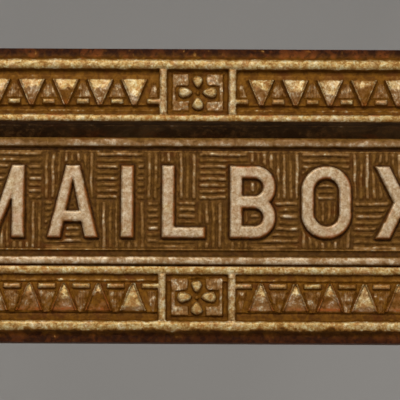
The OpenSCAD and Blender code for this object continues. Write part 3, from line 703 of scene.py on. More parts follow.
# ---------------------------------------------------------------- materials
class Nodes:
    """Short calls for building a node material."""

    def __init__(self, name):
        self.mat = bpy.data.materials.new(name)
        self.mat.use_nodes = True
        self.t = self.mat.node_tree
        self.t.nodes.clear()
        self.out = self.t.nodes.new("ShaderNodeOutputMaterial")
        self.bsdf = self.t.nodes.new("ShaderNodeBsdfPrincipled")
        self.t.links.new(self.bsdf.outputs[0], self.out.inputs[0])
        self.coord = self.t.nodes.new("ShaderNodeTexCoord").outputs["Object"]

    def put(self, sock, v):
        if isinstance(v, bpy.types.NodeSocket):
            self.t.links.new(v, sock)
        elif isinstance(v, (tuple, list)) and len(v) == 3 and sock.type == "RGBA":
            sock.default_value = (*v, 1)
        else:
            sock.default_value = v

    def noise(self, scale, detail=3.0, rough=0.55, distortion=0.0, stretch=None):
        n = self.t.nodes.new("ShaderNodeTexNoise")
        src = self.coord
        if stretch:
            m = self.t.nodes.new("ShaderNodeMapping")
            m.inputs["Scale"].default_value = stretch
            self.t.links.new(src, m.inputs["Vector"])
            src = m.outputs[0]
        self.t.links.new(src, n.inputs["Vector"])
        n.inputs["Scale"].default_value = scale
        n.inputs["Detail"].default_value = detail
        n.inputs["Roughness"].default_value = rough
        n.inputs["Distortion"].default_value = distortion
        return n.outputs["Fac"] if "Fac" in n.outputs else n.outputs[0]

    def voronoi(self, scale):
        n = self.t.nodes.new("ShaderNodeTexVoronoi")
        self.t.links.new(self.coord, n.inputs["Vector"])
        n.inputs["Scale"].default_value = scale
        return n.outputs["Distance"]

    def attr(self, name):
        n = self.t.nodes.new("ShaderNodeAttribute")
        n.attribute_type = "GEOMETRY"
        n.attribute_name = name
        return n.outputs["Fac"]

    def math(self, op, a, b=None, c=None, clamp=False):
        n = self.t.nodes.new("ShaderNodeMath")
        n.operation = op
        n.use_clamp = clamp
        for k, v in enumerate((a, b, c)):
            if v is not None:
                self.put(n.inputs[k], v)
        return n.outputs[0]

    def remap(self, v, a, b, c=0.0, d=1.0, smooth=True):
        n = self.t.nodes.new("ShaderNodeMapRange")
        n.interpolation_type = "SMOOTHSTEP" if smooth else "LINEAR"
        self.put(n.inputs["Value"], v)
        for k, x in zip(("From Min", "From Max", "To Min", "To Max"), (a, b, c, d)):
            n.inputs[k].default_value = x
        return n.outputs[0]

    def mix(self, f, a, b, blend="MIX"):
        n = self.t.nodes.new("ShaderNodeMix")
        n.data_type = "RGBA"
        n.blend_type = blend
        self.put(n.inputs[0], f)
        self.put(n.inputs[6], a)
        self.put(n.inputs[7], b)
        return n.outputs[2]

    def ramp(self, f, stops):
        n = self.t.nodes.new("ShaderNodeValToRGB")
        self.put(n.inputs[0], f)
        e = n.color_ramp.elements
        while len(e) < len(stops):
            e.new(0.5)
        for k, (p, col) in zip(e, stops):
            k.position = p
            k.color = (*col, 1)
        return n.outputs[0]

    def bump(self, h, strength, dist, normal=None):
        n = self.t.nodes.new("ShaderNodeBump")
        n.inputs["Strength"].default_value = strength
        n.inputs["Distance"].default_value = dist
        self.put(n.inputs["Height"], h)
        if normal is not None:
            self.put(n.inputs["Normal"], normal)
        return n.outputs[0]

    def set(self, **kw):
        names = {"color": "Base Color", "rough": "Roughness", "metal": "Metallic", "normal": "Normal",
                 "spec": "Specular IOR Level", "aniso": "Anisotropic"}
        for k, v in kw.items():
            self.put(self.bsdf.inputs[names[k]], v)
        return self.mat


def srgb(r, g, b):
    return tuple((v / 255 / 12.92) if v / 255 <= 0.04045 else ((v / 255 + 0.055) / 1.055) ** 2.4 for v in (r, g, b))


def aged_bronze(name, pinkish=0.0, stains=0.75, dim=(1, 1, 1), grit=1.0, ground=((96, 56, 8), (126, 80, 16))):
    """Old cast bronze: dark lacquer and dirt in the low places, worn gold on the high ones, red-brown stains between;
    the darkening and wear layers also carry painted shade and painted light.
    """
    m = Nodes(name)
    grain = m.noise(5200, 3, 0.6)
    fine = m.noise(2300, 4, 0.65)
    mid = m.noise(760, 4, 0.65, 0.5)
    blot = m.noise(250, 3, 0.6, 0.5)
    big = m.noise(60, 3, 0.5)
    wear_and_light = m.attr("wear_and_light")
    # wear breaks up into blotches where the metal stands high
    r = wear_and_light
    for n, k in ((fine, 0.50 * grit), (mid, 1.35 * grit), (blot, 0.80 * grit), (big, 0.35)):
        r = m.math("MULTIPLY_ADD", m.math("SUBTRACT", n, 0.5), k, r)
    r = m.math("MULTIPLY", m.math("MAXIMUM", r, 0.0), m.remap(wear_and_light, 0.02, 0.26), clamp=True)
    patina = m.mix(m.remap(mid, 0.35, 0.65), srgb(*ground[0]), srgb(*ground[1]))
    patina = m.mix(m.remap(blot, 0.50, 0.72), patina, srgb(100, 54, 12))
    patina = m.mix(m.attr("raw"), patina, m.mix(m.remap(blot, 0.36, 0.64), srgb(92, 66, 36), srgb(120, 88, 52)))
    # deep brown for the dark patina in the low places and for the painted shade
    patina = m.mix(m.attr("patina_and_shade"), patina, m.mix(m.remap(mid, 0.4, 0.62), srgb(40, 14, 1), srgb(62, 27, 2)))
    tone = m.math("MULTIPLY_ADD", m.math("SUBTRACT", mid, 0.5), 1.1 * grit, m.math("MULTIPLY_ADD", m.math("SUBTRACT", fine, 0.5), 0.75 * grit, 0.5))
    yellow = m.ramp(tone, [(0.28, srgb(126, 82, 32)), (0.44, srgb(164, 126, 70)), (0.58, srgb(186, 158, 106)), (0.76, srgb(208, 194, 156))])
    rose = m.ramp(tone, [(0.28, srgb(132, 96, 62)), (0.44, srgb(168, 134, 98)), (0.58, srgb(196, 168, 136)), (0.76, srgb(216, 196, 170))])
    hue = m.math("MULTIPLY_ADD", m.math("SUBTRACT", blot, 0.5), 2.0, m.math("ADD", m.attr("pink"), pinkish), clamp=True)
    metal = m.mix(hue, yellow, rose)
    brown = m.mix(m.remap(fine, 0.35, 0.65), srgb(146, 100, 44), srgb(116, 74, 26))
    brown = m.mix(m.math("MULTIPLY", m.attr("pink"), 0.55), brown, srgb(136, 102, 72))
    col = m.mix(m.remap(r, 0.12, 0.42), patina, brown)
    col = m.mix(m.remap(r, 0.36, 0.74), col, metal)
    stain = m.math("MULTIPLY", m.remap(m.noise(420, 4, 0.7, 0.9), 0.50, 0.64), m.remap(wear_and_light, 0.25, 0.55))
    col = m.mix(m.math("MULTIPLY", stain, stains), col, srgb(146, 94, 46))
    col = m.mix(m.math("MULTIPLY", m.attr("red"), m.remap(mid, 0.34, 0.56)), col, m.mix(m.attr("patina_and_shade"), srgb(154, 80, 30), srgb(96, 46, 14)))
    pits = m.math("MULTIPLY", m.remap(m.noise(3600, 2, 0.5), 0.63, 0.74), 0.45)
    col = m.mix(pits, col, srgb(84, 50, 18))
    col = m.mix(1.0, col, dim, "MULTIPLY")
    rough = m.math("MULTIPLY_ADD", m.math("SUBTRACT", fine, 0.5), 0.3, m.remap(r, 0.1, 0.9, 0.66, 0.50))
    bump = m.bump(m.math("ADD", m.math("MULTIPLY", fine, 0.5), m.math("ADD", m.math("MULTIPLY", grain, 0.15), m.math("MULTIPLY", mid, 0.7))), 0.8 * grit, 0.00010)
    return m.set(color=col, rough=rough, metal=m.remap(r, 0.1, 0.8, 0.16, 0.45), normal=bump, spec=0.08)


def turned_metal(name, light, dark, rust, scale=1.0, metal=0.9, rough=0.38, amount=0.5):
    """A machined or drawn part with tarnish and small pits."""
    m = Nodes(name)
    fine = m.noise(2600 * scale, 4, 0.6)
    mid = m.noise(520 * scale, 4, 0.6, 0.4)
    draw = m.noise(900 * scale, 2, 0.5, stretch=(0.04, 3.0, 3.0))
    col = m.mix(m.remap(mid, 0.35, 0.66), light, dark)
    col = m.mix(m.math("MULTIPLY", m.remap(m.noise(900 * scale, 5, 0.65), 0.55, 0.72), amount), col, rust)
    h = m.math("ADD", m.math("MULTIPLY", fine, 0.5), m.math("MULTIPLY", draw, 0.5))
    return m.set(color=col, metal=metal, rough=m.remap(m.math("ADD", mid, m.math("MULTIPLY", draw, 0.3)), 0.4, 0.95, rough - 0.1, rough + 0.22),
                 normal=m.bump(h, 0.4, 0.00003))


mat_plate = aged_bronze("bronze_plate", stains=0.62, dim=(0.87, 0.90, 0.90))
mat_flap = aged_bronze("bronze_flap", pinkish=0.10, stains=0.35, dim=(0.90, 0.98, 1.02), grit=0.62, ground=((92, 57, 17), (120, 80, 30)))
mat_steel = turned_metal("steel_dull", srgb(150, 146, 140), srgb(92, 86, 80), srgb(104, 62, 36))
mat_spring = turned_metal("spring_wire", srgb(112, 110, 112), srgb(58, 56, 58), srgb(86, 54, 34), 1.6, rough=0.32, amount=0.35)
mat_brass = turned_metal("screw_brass", srgb(206, 170, 104), srgb(128, 88, 44), srgb(84, 48, 22), 0.8, metal=0.85, rough=0.42, amount=0.7)
mat_washer = turned_metal("washer_brass", srgb(214, 182, 112), srgb(150, 112, 60), srgb(92, 58, 28), 1.2, rough=0.36)


def add_piece(me, name, body, mat, nodes):
    ob = bpy.data.objects.new(name, me)
    bpy.context.collection.objects.link(ob)
    me.materials.clear()
    me.materials.append(mat)
    if body:
        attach(ob, body)
    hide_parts(*nodes)
    return ob


# ---------------------------------------------------------------- turned, ringed and swept shapes
def lathe(profile, axis, at, segs=40):
    """A closed solid of revolution; profile is (along, radius) pairs from end to end, starting and ending at radius 0."""
    pts, faces = [], []
    n = len(profile)
    ring = []
    for k, (a, r) in enumerate(profile):
        if r <= 1e-9:
            ring.append([len(pts)])
            pts.append((a, 0.0, 0.0))
        else:
            ring.append(list(range(len(pts), len(pts) + segs)))
            for s in range(segs):
                t = 2 * math.pi * s / segs
                pts.append((a, r * math.cos(t), r * math.sin(t)))
    for k in range(n - 1):
        p, q = ring[k], ring[k + 1]
        for s in range(segs):
            s2 = (s + 1) % segs
            if len(p) == 1 and len(q) == 1:
                continue
            if len(p) == 1:
                faces.append((p[0], q[s2], q[s]))
            elif len(q) == 1:
                faces.append((p[s], p[s2], q[0]))
            else:
                faces.append((p[s], p[s2], q[s2], q[s]))
    out = []
    for a, b, c in pts:
        out.append((at[0] + a, at[1] + b, at[2] + c) if axis == "x" else (at[0] + b, at[1] + a, at[2] + c))
    return out, faces


def ring_solid(outer, inner_r, centre, x0, x1, chamfer=0.15, segs=48, axis="x"):
    """A plate with a round hole: outer(t) gives the outline's distance from the hole's centre at angle t."""
    pts, faces = [], []
    ts = [2 * math.pi * s / segs for s in range(segs)]
    rows = [(x0, "i", 0), (x0, "o", chamfer), (x0 + chamfer, "o", 0), (x1 - chamfer, "o", 0), (x1, "o", chamfer), (x1, "i", 0)]
    for x, kind, cut in rows:
        for t in ts:
            r = inner_r if kind == "i" else outer(t) - cut
            a, b = centre[0] + r * math.cos(t), centre[1] + r * math.sin(t)
            pts.append((x, a, b) if axis == "x" else (a, x, b))
    for k in range(len(rows)):
        k2 = (k + 1) % len(rows)
        for s in range(segs):
            s2 = (s + 1) % segs
            faces.append((k * segs + s, k * segs + s2, k2 * segs + s2, k2 * segs + s))
    return pts, faces


def box_outline(a0, a1, b0, b1, r=0.0):
    """Distance from the origin to a rectangle's edge, with rounded corners."""
    def f(t):
        ca, sb = math.cos(t), math.sin(t)
        k = []
        if ca > 1e-9:
            k.append(a1 / ca)
        if ca < -1e-9:
            k.append(a0 / ca)
        if sb > 1e-9:
            k.append(b1 / sb)
        if sb < -1e-9:
            k.append(b0 / sb)
        d = min(k)
        if r > 0:
            p, q = d * ca, d * sb
            cx = a1 - r if p > 0 else a0 + r
            cz = b1 - r if q > 0 else b0 + r
            if (p - cx) * (1 if p > 0 else -1) > 0 and (q - cz) * (1 if q > 0 else -1) > 0:
                # the ray meets the corner's arc
                bq = ca * cx + sb * cz
                cc = cx * cx + cz * cz - r * r
                disc = bq * bq - cc
                if disc > 0:
                    d = bq + math.sqrt(disc)
        return d
    return f


def tube(path, r, k=12):
    """A round wire along a path, with rounded ends."""
    p = np.array(path, float)
    t = np.empty_like(p)
    t[1:-1] = p[2:] - p[:-2]
    t[0], t[-1] = p[1] - p[0], p[-1] - p[-2]
    t /= np.linalg.norm(t, axis=1)[:, None]
    q = np.cross(t[0], [0, 1, 0.01])
    q /= np.linalg.norm(q)
    pts, faces, rings = [], [], []
    caps = [(-0.35, 0.55), (-0.15, 0.88)]
    seq = [(p[0] + t[0] * d * r, t[0], s) for d, s in [(-0.45, 0.3)] + caps] + [(p[i], t[i], 1.0) for i in range(len(p))]
    seq += [(p[-1] - t[-1] * d * r, t[-1], s) for d, s in caps[::-1] + [(-0.45, 0.3)]]
    for c, tt, s in seq:
        q = q - (q @ tt) * tt
        q /= np.linalg.norm(q)
        b = np.cross(tt, q)
        rings.append(range(len(pts), len(pts) + k))
        for j in range(k):
            a = 2 * math.pi * j / k
            pts.append(tuple(c + r * s * (math.cos(a) * q + math.sin(a) * b)))
    for a, b in zip(rings, rings[1:]):
        for j in range(k):
            j2 = (j + 1) % k
            faces.append((a[j], a[j2], b[j2], b[j]))
    faces.append(tuple(reversed(rings[0])))
    faces.append(tuple(rings[-1]))
    return pts, faces


def to_mesh(name, shells, sharp=35):
    me = bpy.data.meshes.new(name)
    pts, faces = [], []
    for p, f in shells:
        n = len(pts)
        pts += [(x * MM, y * MM, z * MM) for x, y, z in p]
        faces += [tuple(n + i for i in q) for q in f]
    me.from_pydata(pts, [], faces)
    me.update()
    bm = bmesh.new()
    bm.from_mesh(me)
    bmesh.ops.recalc_face_normals(bm, faces=bm.faces)
    bm.to_mesh(me)
    bm.free()
    me.shade_smooth()
    me.set_sharp_from_angle(angle=math.radians(sharp))
    return me


def cut_slot(me, x0, x1, y0, y1, z0, z1, turn=0.0, about=(0, 0)):
    """Cuts a screwdriver slot out of a mesh."""
    ob = bpy.data.objects.new("blank", me)
    bpy.context.collection.objects.link(ob)
    cut = bpy.data.meshes.new("cut")
    c, s = math.cos(turn), math.sin(turn)
    pts = []
    for y in (y0, y1):
        for x, z in ((x0, z0), (x1, z0), (x1, z1), (x0, z1)):
            dx, dz = x - about[0], z - about[1]
            pts.append(((about[0] + c * dx - s * dz) * MM, y * MM, (about[1] + s * dx + c * dz) * MM))
    cut.from_pydata(pts, [], [(0, 1, 2, 3), (7, 6, 5, 4), (0, 4, 5, 1), (1, 5, 6, 2), (2, 6, 7, 3), (3, 7, 4, 0)])
    bm = bmesh.new()
    bm.from_mesh(cut)
    bmesh.ops.recalc_face_normals(bm, faces=bm.faces)
    bm.to_mesh(cut)
    bm.free()
    co = bpy.data.objects.new("cutter", cut)
    bpy.context.collection.objects.link(co)
    mod = ob.modifiers.new("b", "BOOLEAN")
    mod.operation, mod.object, mod.solver = "DIFFERENCE", co, "EXACT"
    dg = bpy.context.evaluated_depsgraph_get()
    new = bpy.data.meshes.new_from_object(ob.evaluated_get(dg))
    bpy.data.objects.remove(ob)
    bpy.data.objects.remove(co)
    bpy.data.meshes.remove(cut)
    new.shade_smooth()
    new.set_sharp_from_angle(angle=math.radians(30))
    return new


def join_meshes(name, first, shells):
    """Adds closed shells to a mesh that is already made."""
    other = to_mesh(name + "_x", shells)
    bm = bmesh.new()
    bm.from_mesh(first)
    bm.from_mesh(other)
    bm.to_mesh(first)
    bm.free()
    bpy.data.meshes.remove(other)
    return first


# ---------------------------------------------------------------- front plate
def build_plate():
    e = 0.03
    far = lambda v: 0.36 if abs(v) > 56 else 0.21
    xs = lines([-W2, -W2 + 3.1, -SX - e, -SX, -SX + e, -SX + LEDGE, SX - LEDGE, SX - e, SX, SX + e, W2 - 3.1, W2], far)
    zs = lines([-H2, -H2 + 3.1, -SB - e, -SB, -SB + e, -SB + LEDGE, 6.5, ST, ST + e, H2 - 3.1, H2],
               lambda v: 0.6 if -14 < v < 17 else (0.45 if abs(v) > 32.2 else 0.2))
    xs = np.unique(np.round(xs, 5))
    zs = np.unique(np.round(zs, 5))
    c = Canvas(xs, zs)
    draw_plate(c)
    c.h[np.abs(np.abs(c.X) - W2) < 1e-6] = 1.2
    c.h[np.abs(np.abs(c.Z) - H2) < 1e-6] = 1.2

    def hole(X, Z):
        a = (np.abs(X) < SX - LEDGE) & (Z > -SB + LEDGE) & (Z < ST)
        b = (np.abs(X) < SX) & (Z > 6.5) & (Z < ST)
        return a | b

    mx, mz = np.meshgrid((xs[1:] + xs[:-1]) / 2, (zs[1:] + zs[:-1]) / 2)
    fmask = ~hole(mx, mz)

    wt, pk, inn = 2.4, -3.2, -0.3
    s = 0.12
    bx = [-W2, W2, -W2 + wt, W2 - wt, -W2 + wt + s, W2 - wt - s]
    for v in (SX - LEDGE, SX, SX + wt, SX + wt + s, SX + 4.6, SX + 4.6 + s, 24.1, 24.1 - s, 25.9, 25.9 + s, 57.1, 57.1 - s, 58.9, 58.9 + s, 40.0, 10.0, 80.0):
        bx += [v, -v]
    bz = [-H2, H2, -H2 + wt, H2 - wt, -H2 + wt + s, H2 - wt - s, -SB + LEDGE, -SB, -SB - wt, -SB - wt - s, 6.5, ST, ST + wt, ST + wt + s,
          2.6, 2.6 - s, 14.6, 14.6 + s, -8.0, 0.0]
    for k in range(9):
        bz.append(HZ - 1.26 * math.cos(math.pi * k / 8))
    bz += [HZ - 1.27, HZ + 1.27]
    bx, bz = np.unique(np.round(bx, 5)), np.unique(np.round(bz, 5))

    def back(X, Z):
        ax = np.abs(X)
        u = np.minimum(W2 - ax, H2 - np.abs(Z))
        q = np.maximum(ax - SX, np.maximum(Z - ST, -SB - Z))
        y = np.full(X.shape, pk)
        ribs = ((np.abs(ax - 25) < 0.95) | (np.abs(ax - 58) < 0.95)) & (q > 0)
        y = np.where(ribs, -0.6, y)
        saddle = (ax >= SX - 1e-6) & (ax <= SX + 4.6 + 1e-6) & (Z > 2.59) & (Z < 14.61)
        y = np.where((q < wt + 1e-6) | saddle, inn, y)
        dz = Z - HZ
        slot = (np.abs(dz) < 1.2605) & (ax >= SX - 1e-6) & (ax <= SX + wt + 1.21)
        y = np.where(slot, HY - np.sqrt(np.clip(1.26 ** 2 - dz * dz, 0, 2)), y)
        return np.where(u < wt + 1e-6, 0.0, y)

    mx, mz = np.meshgrid((bx[1:] + bx[:-1]) / 2, (bz[1:] + bz[:-1]) / 2)
    bmask = ~hole(mx, mz)
    L = SX - LEDGE
    sides = [(-W2, -H2, W2, -H2), (-W2, H2, W2, H2), (-W2, -H2, -W2, H2), (W2, -H2, W2, H2),
             (-SX, ST, SX, ST), (-L, -SB + LEDGE, L, -SB + LEDGE),
             (-L, -SB + LEDGE, -L, 6.5), (L, -SB + LEDGE, L, 6.5),
             (-SX, 6.5, -L, 6.5), (L, 6.5, SX, 6.5), (-SX, 6.5, -SX, ST), (SX, 6.5, SX, ST)]
    me = relief_solid("front_plate", c, fmask, bx, bz, back, bmask, sides)
    me = tidy(me, limit=186000, sharp=52)
    co = np.empty(len(me.vertices) * 3, np.float32)
    me.vertices.foreach_get("co", co)
    co = co.reshape(-1, 3)
    co[:, 0] = np.clip(co[:, 0], -0.0909999, 0.0909999)
    co[:, 1] = np.clip(co[:, 1], -0.00749, 0)
    co[:, 2] = np.clip(co[:, 2], -0.0349999, 0.0349999)
    me.vertices.foreach_set("co", co.ravel())
    ras = raster(draw_plate, W2 + 0.3, -H2 - 0.3, H2 + 0.3)

    # hood over the hinge, screw bosses
    hood_p, hood_f = [], []
    prof = []
    ri, ro, n = ST - HZ, ST - HZ + 1.4, 18
    for k in range(n + 1):
        a = math.pi / 2 * k / n
        prof.append((HY + ri * math.sin(a), HZ + ri * math.cos(a)))
    for k in range(n, -1, -1):
        a = math.pi / 2 * k / n
        prof.append((HY + ro * math.sin(a), HZ + ro * math.cos(a)))
    prof += [(-2.9, ST + 1.2), (-2.9, ST + 0.02)]
    m = len(prof)
    xsn = list(np.linspace(-SX + 0.02, SX - 0.02, 41))
    for x in xsn:
        for y, z in prof:
            hood_p.append((x, y, z))
    for a in range(len(xsn) - 1):
        for k in range(m):
            k2 = (k + 1) % m
            hood_f.append((a * m + k, a * m + k2, (a + 1) * m + k2, (a + 1) * m + k))
    hood_f.append(tuple(range(m)))
    hood_f.append(tuple(reversed(range((len(xsn) - 1) * m, len(xsn) * m))))
    shells = [(hood_p, hood_f)]
    for sgn in (1, -1):
        shells.append(lathe([(-3.4, 0), (-3.4, 5.3), (-3.1, 5.0), (-2.7, 4.75), (-0.55, 4.6), (-0.3, 4.35), (-0.3, 0)], "y", (sgn * SCREW_X, 0, 0), 48))
    me = join_meshes("front_plate", me, shells)
    finish_and_light_layers(me, ras)
    return add_piece(me, "front_plate_cast", PLATE, mat_plate, ["front_plate"])


# ---------------------------------------------------------------- flap
def build_flap():
    xs = lines([-FX, -FX + 2.9, FX - 2.9, FX], lambda v: 0.30 if abs(v) > 56 else 0.2)
    zs = lines([FB, Z_LO, Z_MID, Z_HI, FT], 0.2)
    c = Canvas(xs, zs)
    draw_flap(c)
    bz = [FB, -8, 0.0]
    for k in range(17):
        a = -math.acos(1.6 / 2.75) + (math.acos(1.6 / 2.75) + math.asin(1.6 / 2.75)) * k / 16
        bz.append(HZ + 2.75 * math.sin(a))
    bz = [v for v in bz if v < FT - 0.05]
    bz += [12.6, 12.62, FT]
    bz = np.unique(np.round(bz, 5))
    bx = np.linspace(-FX, FX, 29)

    def back(X, Z):
        dz = Z - HZ
        groove = np.where(np.abs(dz) < 2.75, HY - np.sqrt(np.clip(2.75 ** 2 - dz * dz, 0, 99)), 0)
        y = np.minimum(-3.1, groove)
        return np.where(Z > 12.61, -3.74, y)

    full = lambda a, b: np.ones((len(b) - 1, len(a) - 1), bool)
    sides = [(-FX, FB, FX, FB), (-FX, FT, FX, FT), (-FX, FB, -FX, FT), (FX, FB, FX, FT)]
    me = relief_solid("flap", c, full(xs, zs), bx, bz, back, full(bx, bz), sides)
    me = tidy(me, limit=186000, sharp=52)
    ras = raster(draw_flap, FX + 0.3, FB - 0.3, FT + 0.3)

    def knuckle(t):
        """Round barrel with its web towards the flap."""
        box = box_outline(-3.1, 0.001, -2.4, 2.4)
        return max(2.4, box(t)) if math.cos(t) < 0 else 2.4

    shells = []
    for sgn in (1, -1):
        for a, b in ((16, 23), (50, 57), (65.9, 67.6)):
            x0, x1 = sorted((sgn * a, sgn * b))
            shells.append(ring_solid(knuckle, 1.28, (HY, HZ), x0, x1, 0.18, 64))
        x0, x1 = sorted((sgn * 52, sgn * 56.3))
        shells.append(ring_solid(box_outline(-3.4 + 1.9, -0.6 + 1.9, 1.5 - 3.2, 5 - 3.2, 0.7), 0.6, (-1.9, 3.2), x0, x1, 0.2, 64))
    me = join_meshes("flap", me, shells)
    finish_and_light_layers(me, ras)
    return add_piece(me, "flap_cast", FLAP, mat_flap, ["flap"])


# ---------------------------------------------------------------- hinge hardware
def build_hinge():
    L = SX + 3.5
    prof = [(-L, 0), (-L, 0.95), (-L + 0.3, 1.2)]
    for x in np.linspace(-L + 3, L - 3, 47):
        prof.append((x, 1.2))
    prof += [(L - 0.3, 1.2), (L, 0.95), (L, 0)]
    me = to_mesh("hinge_pin", [lathe(prof, "x", (0, HY, HZ), 32)])
    add_piece(me, "hinge_pin_rod", PLATE, mat_steel, ["hinge_pin"])
    for sgn, side in ((-1, "left"), (1, "right")):
        x0, x1 = sorted((sgn * 67.85, sgn * 68.95))
        me = to_mesh("washer", [ring_solid(lambda t: 2.35, 1.3, (HY, HZ), x0, x1, 0.18, 48)])
        add_piece(me, "hinge_washer_%s_ring" % side, PLATE, mat_washer, ["hinge_washer_" + side])
        # keeper strap with its hole
        cx = sgn * (SX + 2.3)
        a0, a1 = sorted((sgn * (SX + 0.3) - cx, sgn * (SX + 4.2) - cx))
        out = box_outline(a0, a1, 3.2 - 5, 13.6 - 5, 0.7)
        me = to_mesh("keeper", [ring_solid(out, 1.15, (cx, 5.0), -0.27, 0.73, 0.14, 72, axis="y")])
        add_piece(me, "pin_keeper_%s_strap" % side, PLATE, mat_steel, ["pin_keeper_" + side])
        prof = [(-2.9, 0), (-2.9, 0.7), (-2.6, 0.95), (0.76, 0.95), (0.76, 1.75), (0.86, 1.85), (1.35, 1.85), (1.62, 1.72), (1.78, 1.4), (1.85, 0.8), (1.86, 0)]
        me = to_mesh("screw", [lathe(prof, "y", (cx, 0, 5.0), 48)])
        me = cut_slot(me, cx - 3, cx + 3, 1.4, 3, 4.74, 5.26, turn=math.radians(62 if sgn > 0 else 118), about=(cx, 5.0))
        add_piece(me, "keeper_screw_%s_head" % side, PLATE, mat_steel, ["keeper_screw_" + side])


def spring_path():
    """The right-hand spring's centreline, as in the CAD, with finer steps."""
    R, x0, x1 = 1.85, 65.1, 58.1
    fy, fz = -0.3 + 0.45 + 0.02, 1.2
    a0, a1 = 180.0, 106 + 7 * 360.0
    ly, lz = -1.9, 3.2

    def coil(t):
        a = math.radians(a0 + t * (a1 - a0))
        return (x0 + t * (x1 - x0), HY + R * math.sin(a), HZ + R * math.cos(a))
    p = [(71.2, fy, fz), (69, fy, fz), (67, fy, fz), (66, fy, fz), (65.5, fy, fz + 0.15), (65.2, fy, fz + 0.5), (x0, fy, fz + 1.1)]
    p += [(x0, fy, z) for z in (3.4, 4.9, 6.4)]
    zr = HZ - R
    p += [(x0, fy - 1.6 + 1.6 * math.cos(math.radians(a)), zr - 1.6 + 1.6 * math.sin(math.radians(a))) for a in range(0, 90, 12)]
    n = 7 * 30
    p += [coil(i / n) for i in range(n + 1)]
    e = coil(1)
    p += [(x1 - 0.15, e[1] + t * (ly - e[1]), e[2] + t * (lz + 0.9 - e[2])) for t in (0.15, 0.35, 0.55, 0.75)]
    p += [(x1 - 0.17, ly + 0.05, lz + 1.1), (x1 - 0.3, ly, lz + 0.5), (x1 - 0.6, ly, lz + 0.15), (x1 - 1.1, ly, lz),
          (56, ly, lz), (54, ly, lz), (52.5, ly, lz), (51, ly, lz)]
    return p


def build_springs():
    for sgn, side in ((-1, "left"), (1, "right")):
        path = [(sgn * x, y, z) for x, y, z in spring_path()]
        me = to_mesh("return_spring_" + side, [tube(path, 0.45, 14)], sharp=60)
        me.materials.append(mat_spring)
        ob = bpy.data.objects.new("return_spring_%s_coil" % side, me)
        bpy.context.collection.objects.link(ob)
        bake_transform(ob)
        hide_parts("return_spring_" + side)


def build_mounting_screws():
    bf = -7.0
    for sgn, side in ((-1, "left"), (1, "right")):
        cx = sgn * SCREW_X
        # oval head and plain shank
        prof = [(bf - 0.84, 0), (bf - 0.82, 0.8), (bf - 0.76, 1.6), (bf - 0.62, 2.4), (bf - 0.42, 3.0), (bf - 0.22, 3.35), (bf - 0.08, 3.48), (bf + 0.04, 3.5),
                (bf + 0.10, 3.42), (bf + 1.8, 1.75), (0.3, 1.74), (0.7, 1.5)]
        pitch, y1, y2, ny, k = 1.41, 0.75, 14.0, 150, 36
        pts, faces = lathe(prof + [(0.75, 1.45), (0.75, 0)], "y", (cx, 0, 0), 48)
        shells = [(pts, faces)]
        # threaded part: a helical ridge on the root, running out on the point
        tp, tf = [], []
        tip = 17.98
        ys = list(np.linspace(0.7, tip - 0.05, ny))
        for y in ys:
            root = 1.5 if y < y2 else 1.5 - (1.5 - 0.18) * (y - y2) / (tip - y2)
            grow = min(1, max(0, (y - 0.9) / 1.2)) * min(1, max(0.0, (tip - 0.5 - y) / 2.0))
            for s in range(k):
                t = 2 * math.pi * s / k
                f = (y / pitch - t / (2 * math.pi)) % 1.0
                ridge = max(0.0, 1 - abs(f - 0.5) / 0.30)
                r = root + 0.27 * grow * ridge ** 0.9
                tp.append((cx + r * math.cos(t), y, r * math.sin(t)))
        for a in range(ny - 1):
            for s in range(k):
                s2 = (s + 1) % k
                tf.append((a * k + s, a * k + s2, (a + 1) * k + s2, (a + 1) * k + s))
        tf.append(tuple(range(k)))
        n = len(tp)
        tp.append((cx, tip, 0))
        for s in range(k):
            tf.append(((ny - 1) * k + s, (ny - 1) * k + (s + 1) % k, n))
        head = to_mesh("head", shells)
        head = cut_slot(head, cx - 5, cx + 5, bf - 2, bf + 0.3, -0.42, 0.42, turn=math.radians(24 if sgn > 0 else -8), about=(cx, 0))
        me = join_meshes("mounting_screw_" + side, head, [(tp, tf)])
        me.set_sharp_from_angle(angle=math.radians(38))
        add_piece(me, "mounting_screw_%s_no6" % side, PLATE, mat_brass, ["mounting_screw_" + side])


build_plate()
build_flap()
build_hinge()
build_springs()
build_mounting_screws()


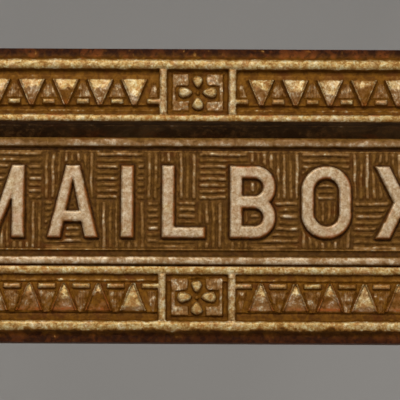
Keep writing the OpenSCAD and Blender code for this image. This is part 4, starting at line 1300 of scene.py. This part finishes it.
# ---------------------------------------------------------------- floor, light and camera
def build_stage():
    """A pale sweep: a floor well below the plate that curves up into a far wall."""
    prof = [(-2.4, -0.9)]
    for k in range(13):
        a = math.pi / 2 * k / 12
        prof.append((1.0 + 0.6 * math.sin(a), -0.3 - 0.6 * math.cos(a)))
    prof.append((1.6, 2.2))
    xs = [-3.0, 3.0]
    pts = [(x, y, z) for x in xs for y, z in prof]
    n = len(prof)
    me = bpy.data.meshes.new("stage")
    me.from_pydata(pts, [], [(k, k + 1, n + k + 1, n + k) for k in range(n - 1)])
    me.shade_smooth()
    m = Nodes("pale_stage")
    m.set(color=m.mix(m.noise(3.0, 3), srgb(196, 193, 189), srgb(204, 201, 197)), rough=0.9)
    me.materials.append(m.mat)
    ob = bpy.data.objects.new("stage", me)
    bpy.context.collection.objects.link(ob)


def area(name, at, to, size, power, col=(1, 1, 1)):
    li = bpy.data.lights.new(name, "AREA")
    li.shape, li.size, li.energy, li.color = "DISK", size, power, col
    ob = bpy.data.objects.new(name, li)
    bpy.context.collection.objects.link(ob)
    ob.location = at
    ob.rotation_mode = "QUATERNION"
    ob.rotation_quaternion = (Vector(to) - Vector(at)).to_track_quat("-Z", "Y")
    return ob


build_stage()
area("key", (-0.20, -0.84, 0.56), (0, 0, 0), 0.60, 10.6, (1.0, 0.985, 0.96))
area("fill", (0.70, -0.90, 0.05), (0, 0, 0), 0.9, 3.9, (1.0, 0.99, 0.97))
area("back_left", (-0.7, 0.95, 0.25), (0, 0, 0), 0.8, 9.0)
area("back_right", (0.7, 0.95, 0.05), (0, 0, 0), 0.8, 7.0)
world = bpy.data.worlds.new("studio")
world.use_nodes = True
world.node_tree.nodes["Background"].inputs[0].default_value = (0.9, 0.9, 0.92, 1)
world.node_tree.nodes["Background"].inputs[1].default_value = 0.13
bpy.context.scene.world = world
bpy.context.scene.view_settings.view_transform = "Standard"

cam = bpy.data.cameras.new("camera")
cam.lens, cam.sensor_width = 150.0, 36.0
cam.clip_start, cam.clip_end = 0.01, 20
cam_ob = bpy.data.objects.new("camera", cam)
bpy.context.collection.objects.link(cam_ob)
aim = Vector((0.00064, -0.0040, -0.00106))
elev, dist = math.radians(-4.0), 0.0943 * 150.0 / 36.0
back = Vector((0, -math.cos(elev), math.sin(elev)))
cam_ob.location = aim + back * dist
cam_ob.rotation_mode = "QUATERNION"
cam_ob.rotation_quaternion = (-back).to_track_quat("-Z", "Y") @ Quaternion((0, 0, 1), math.radians(0.27))
bpy.context.scene.camera = cam_ob
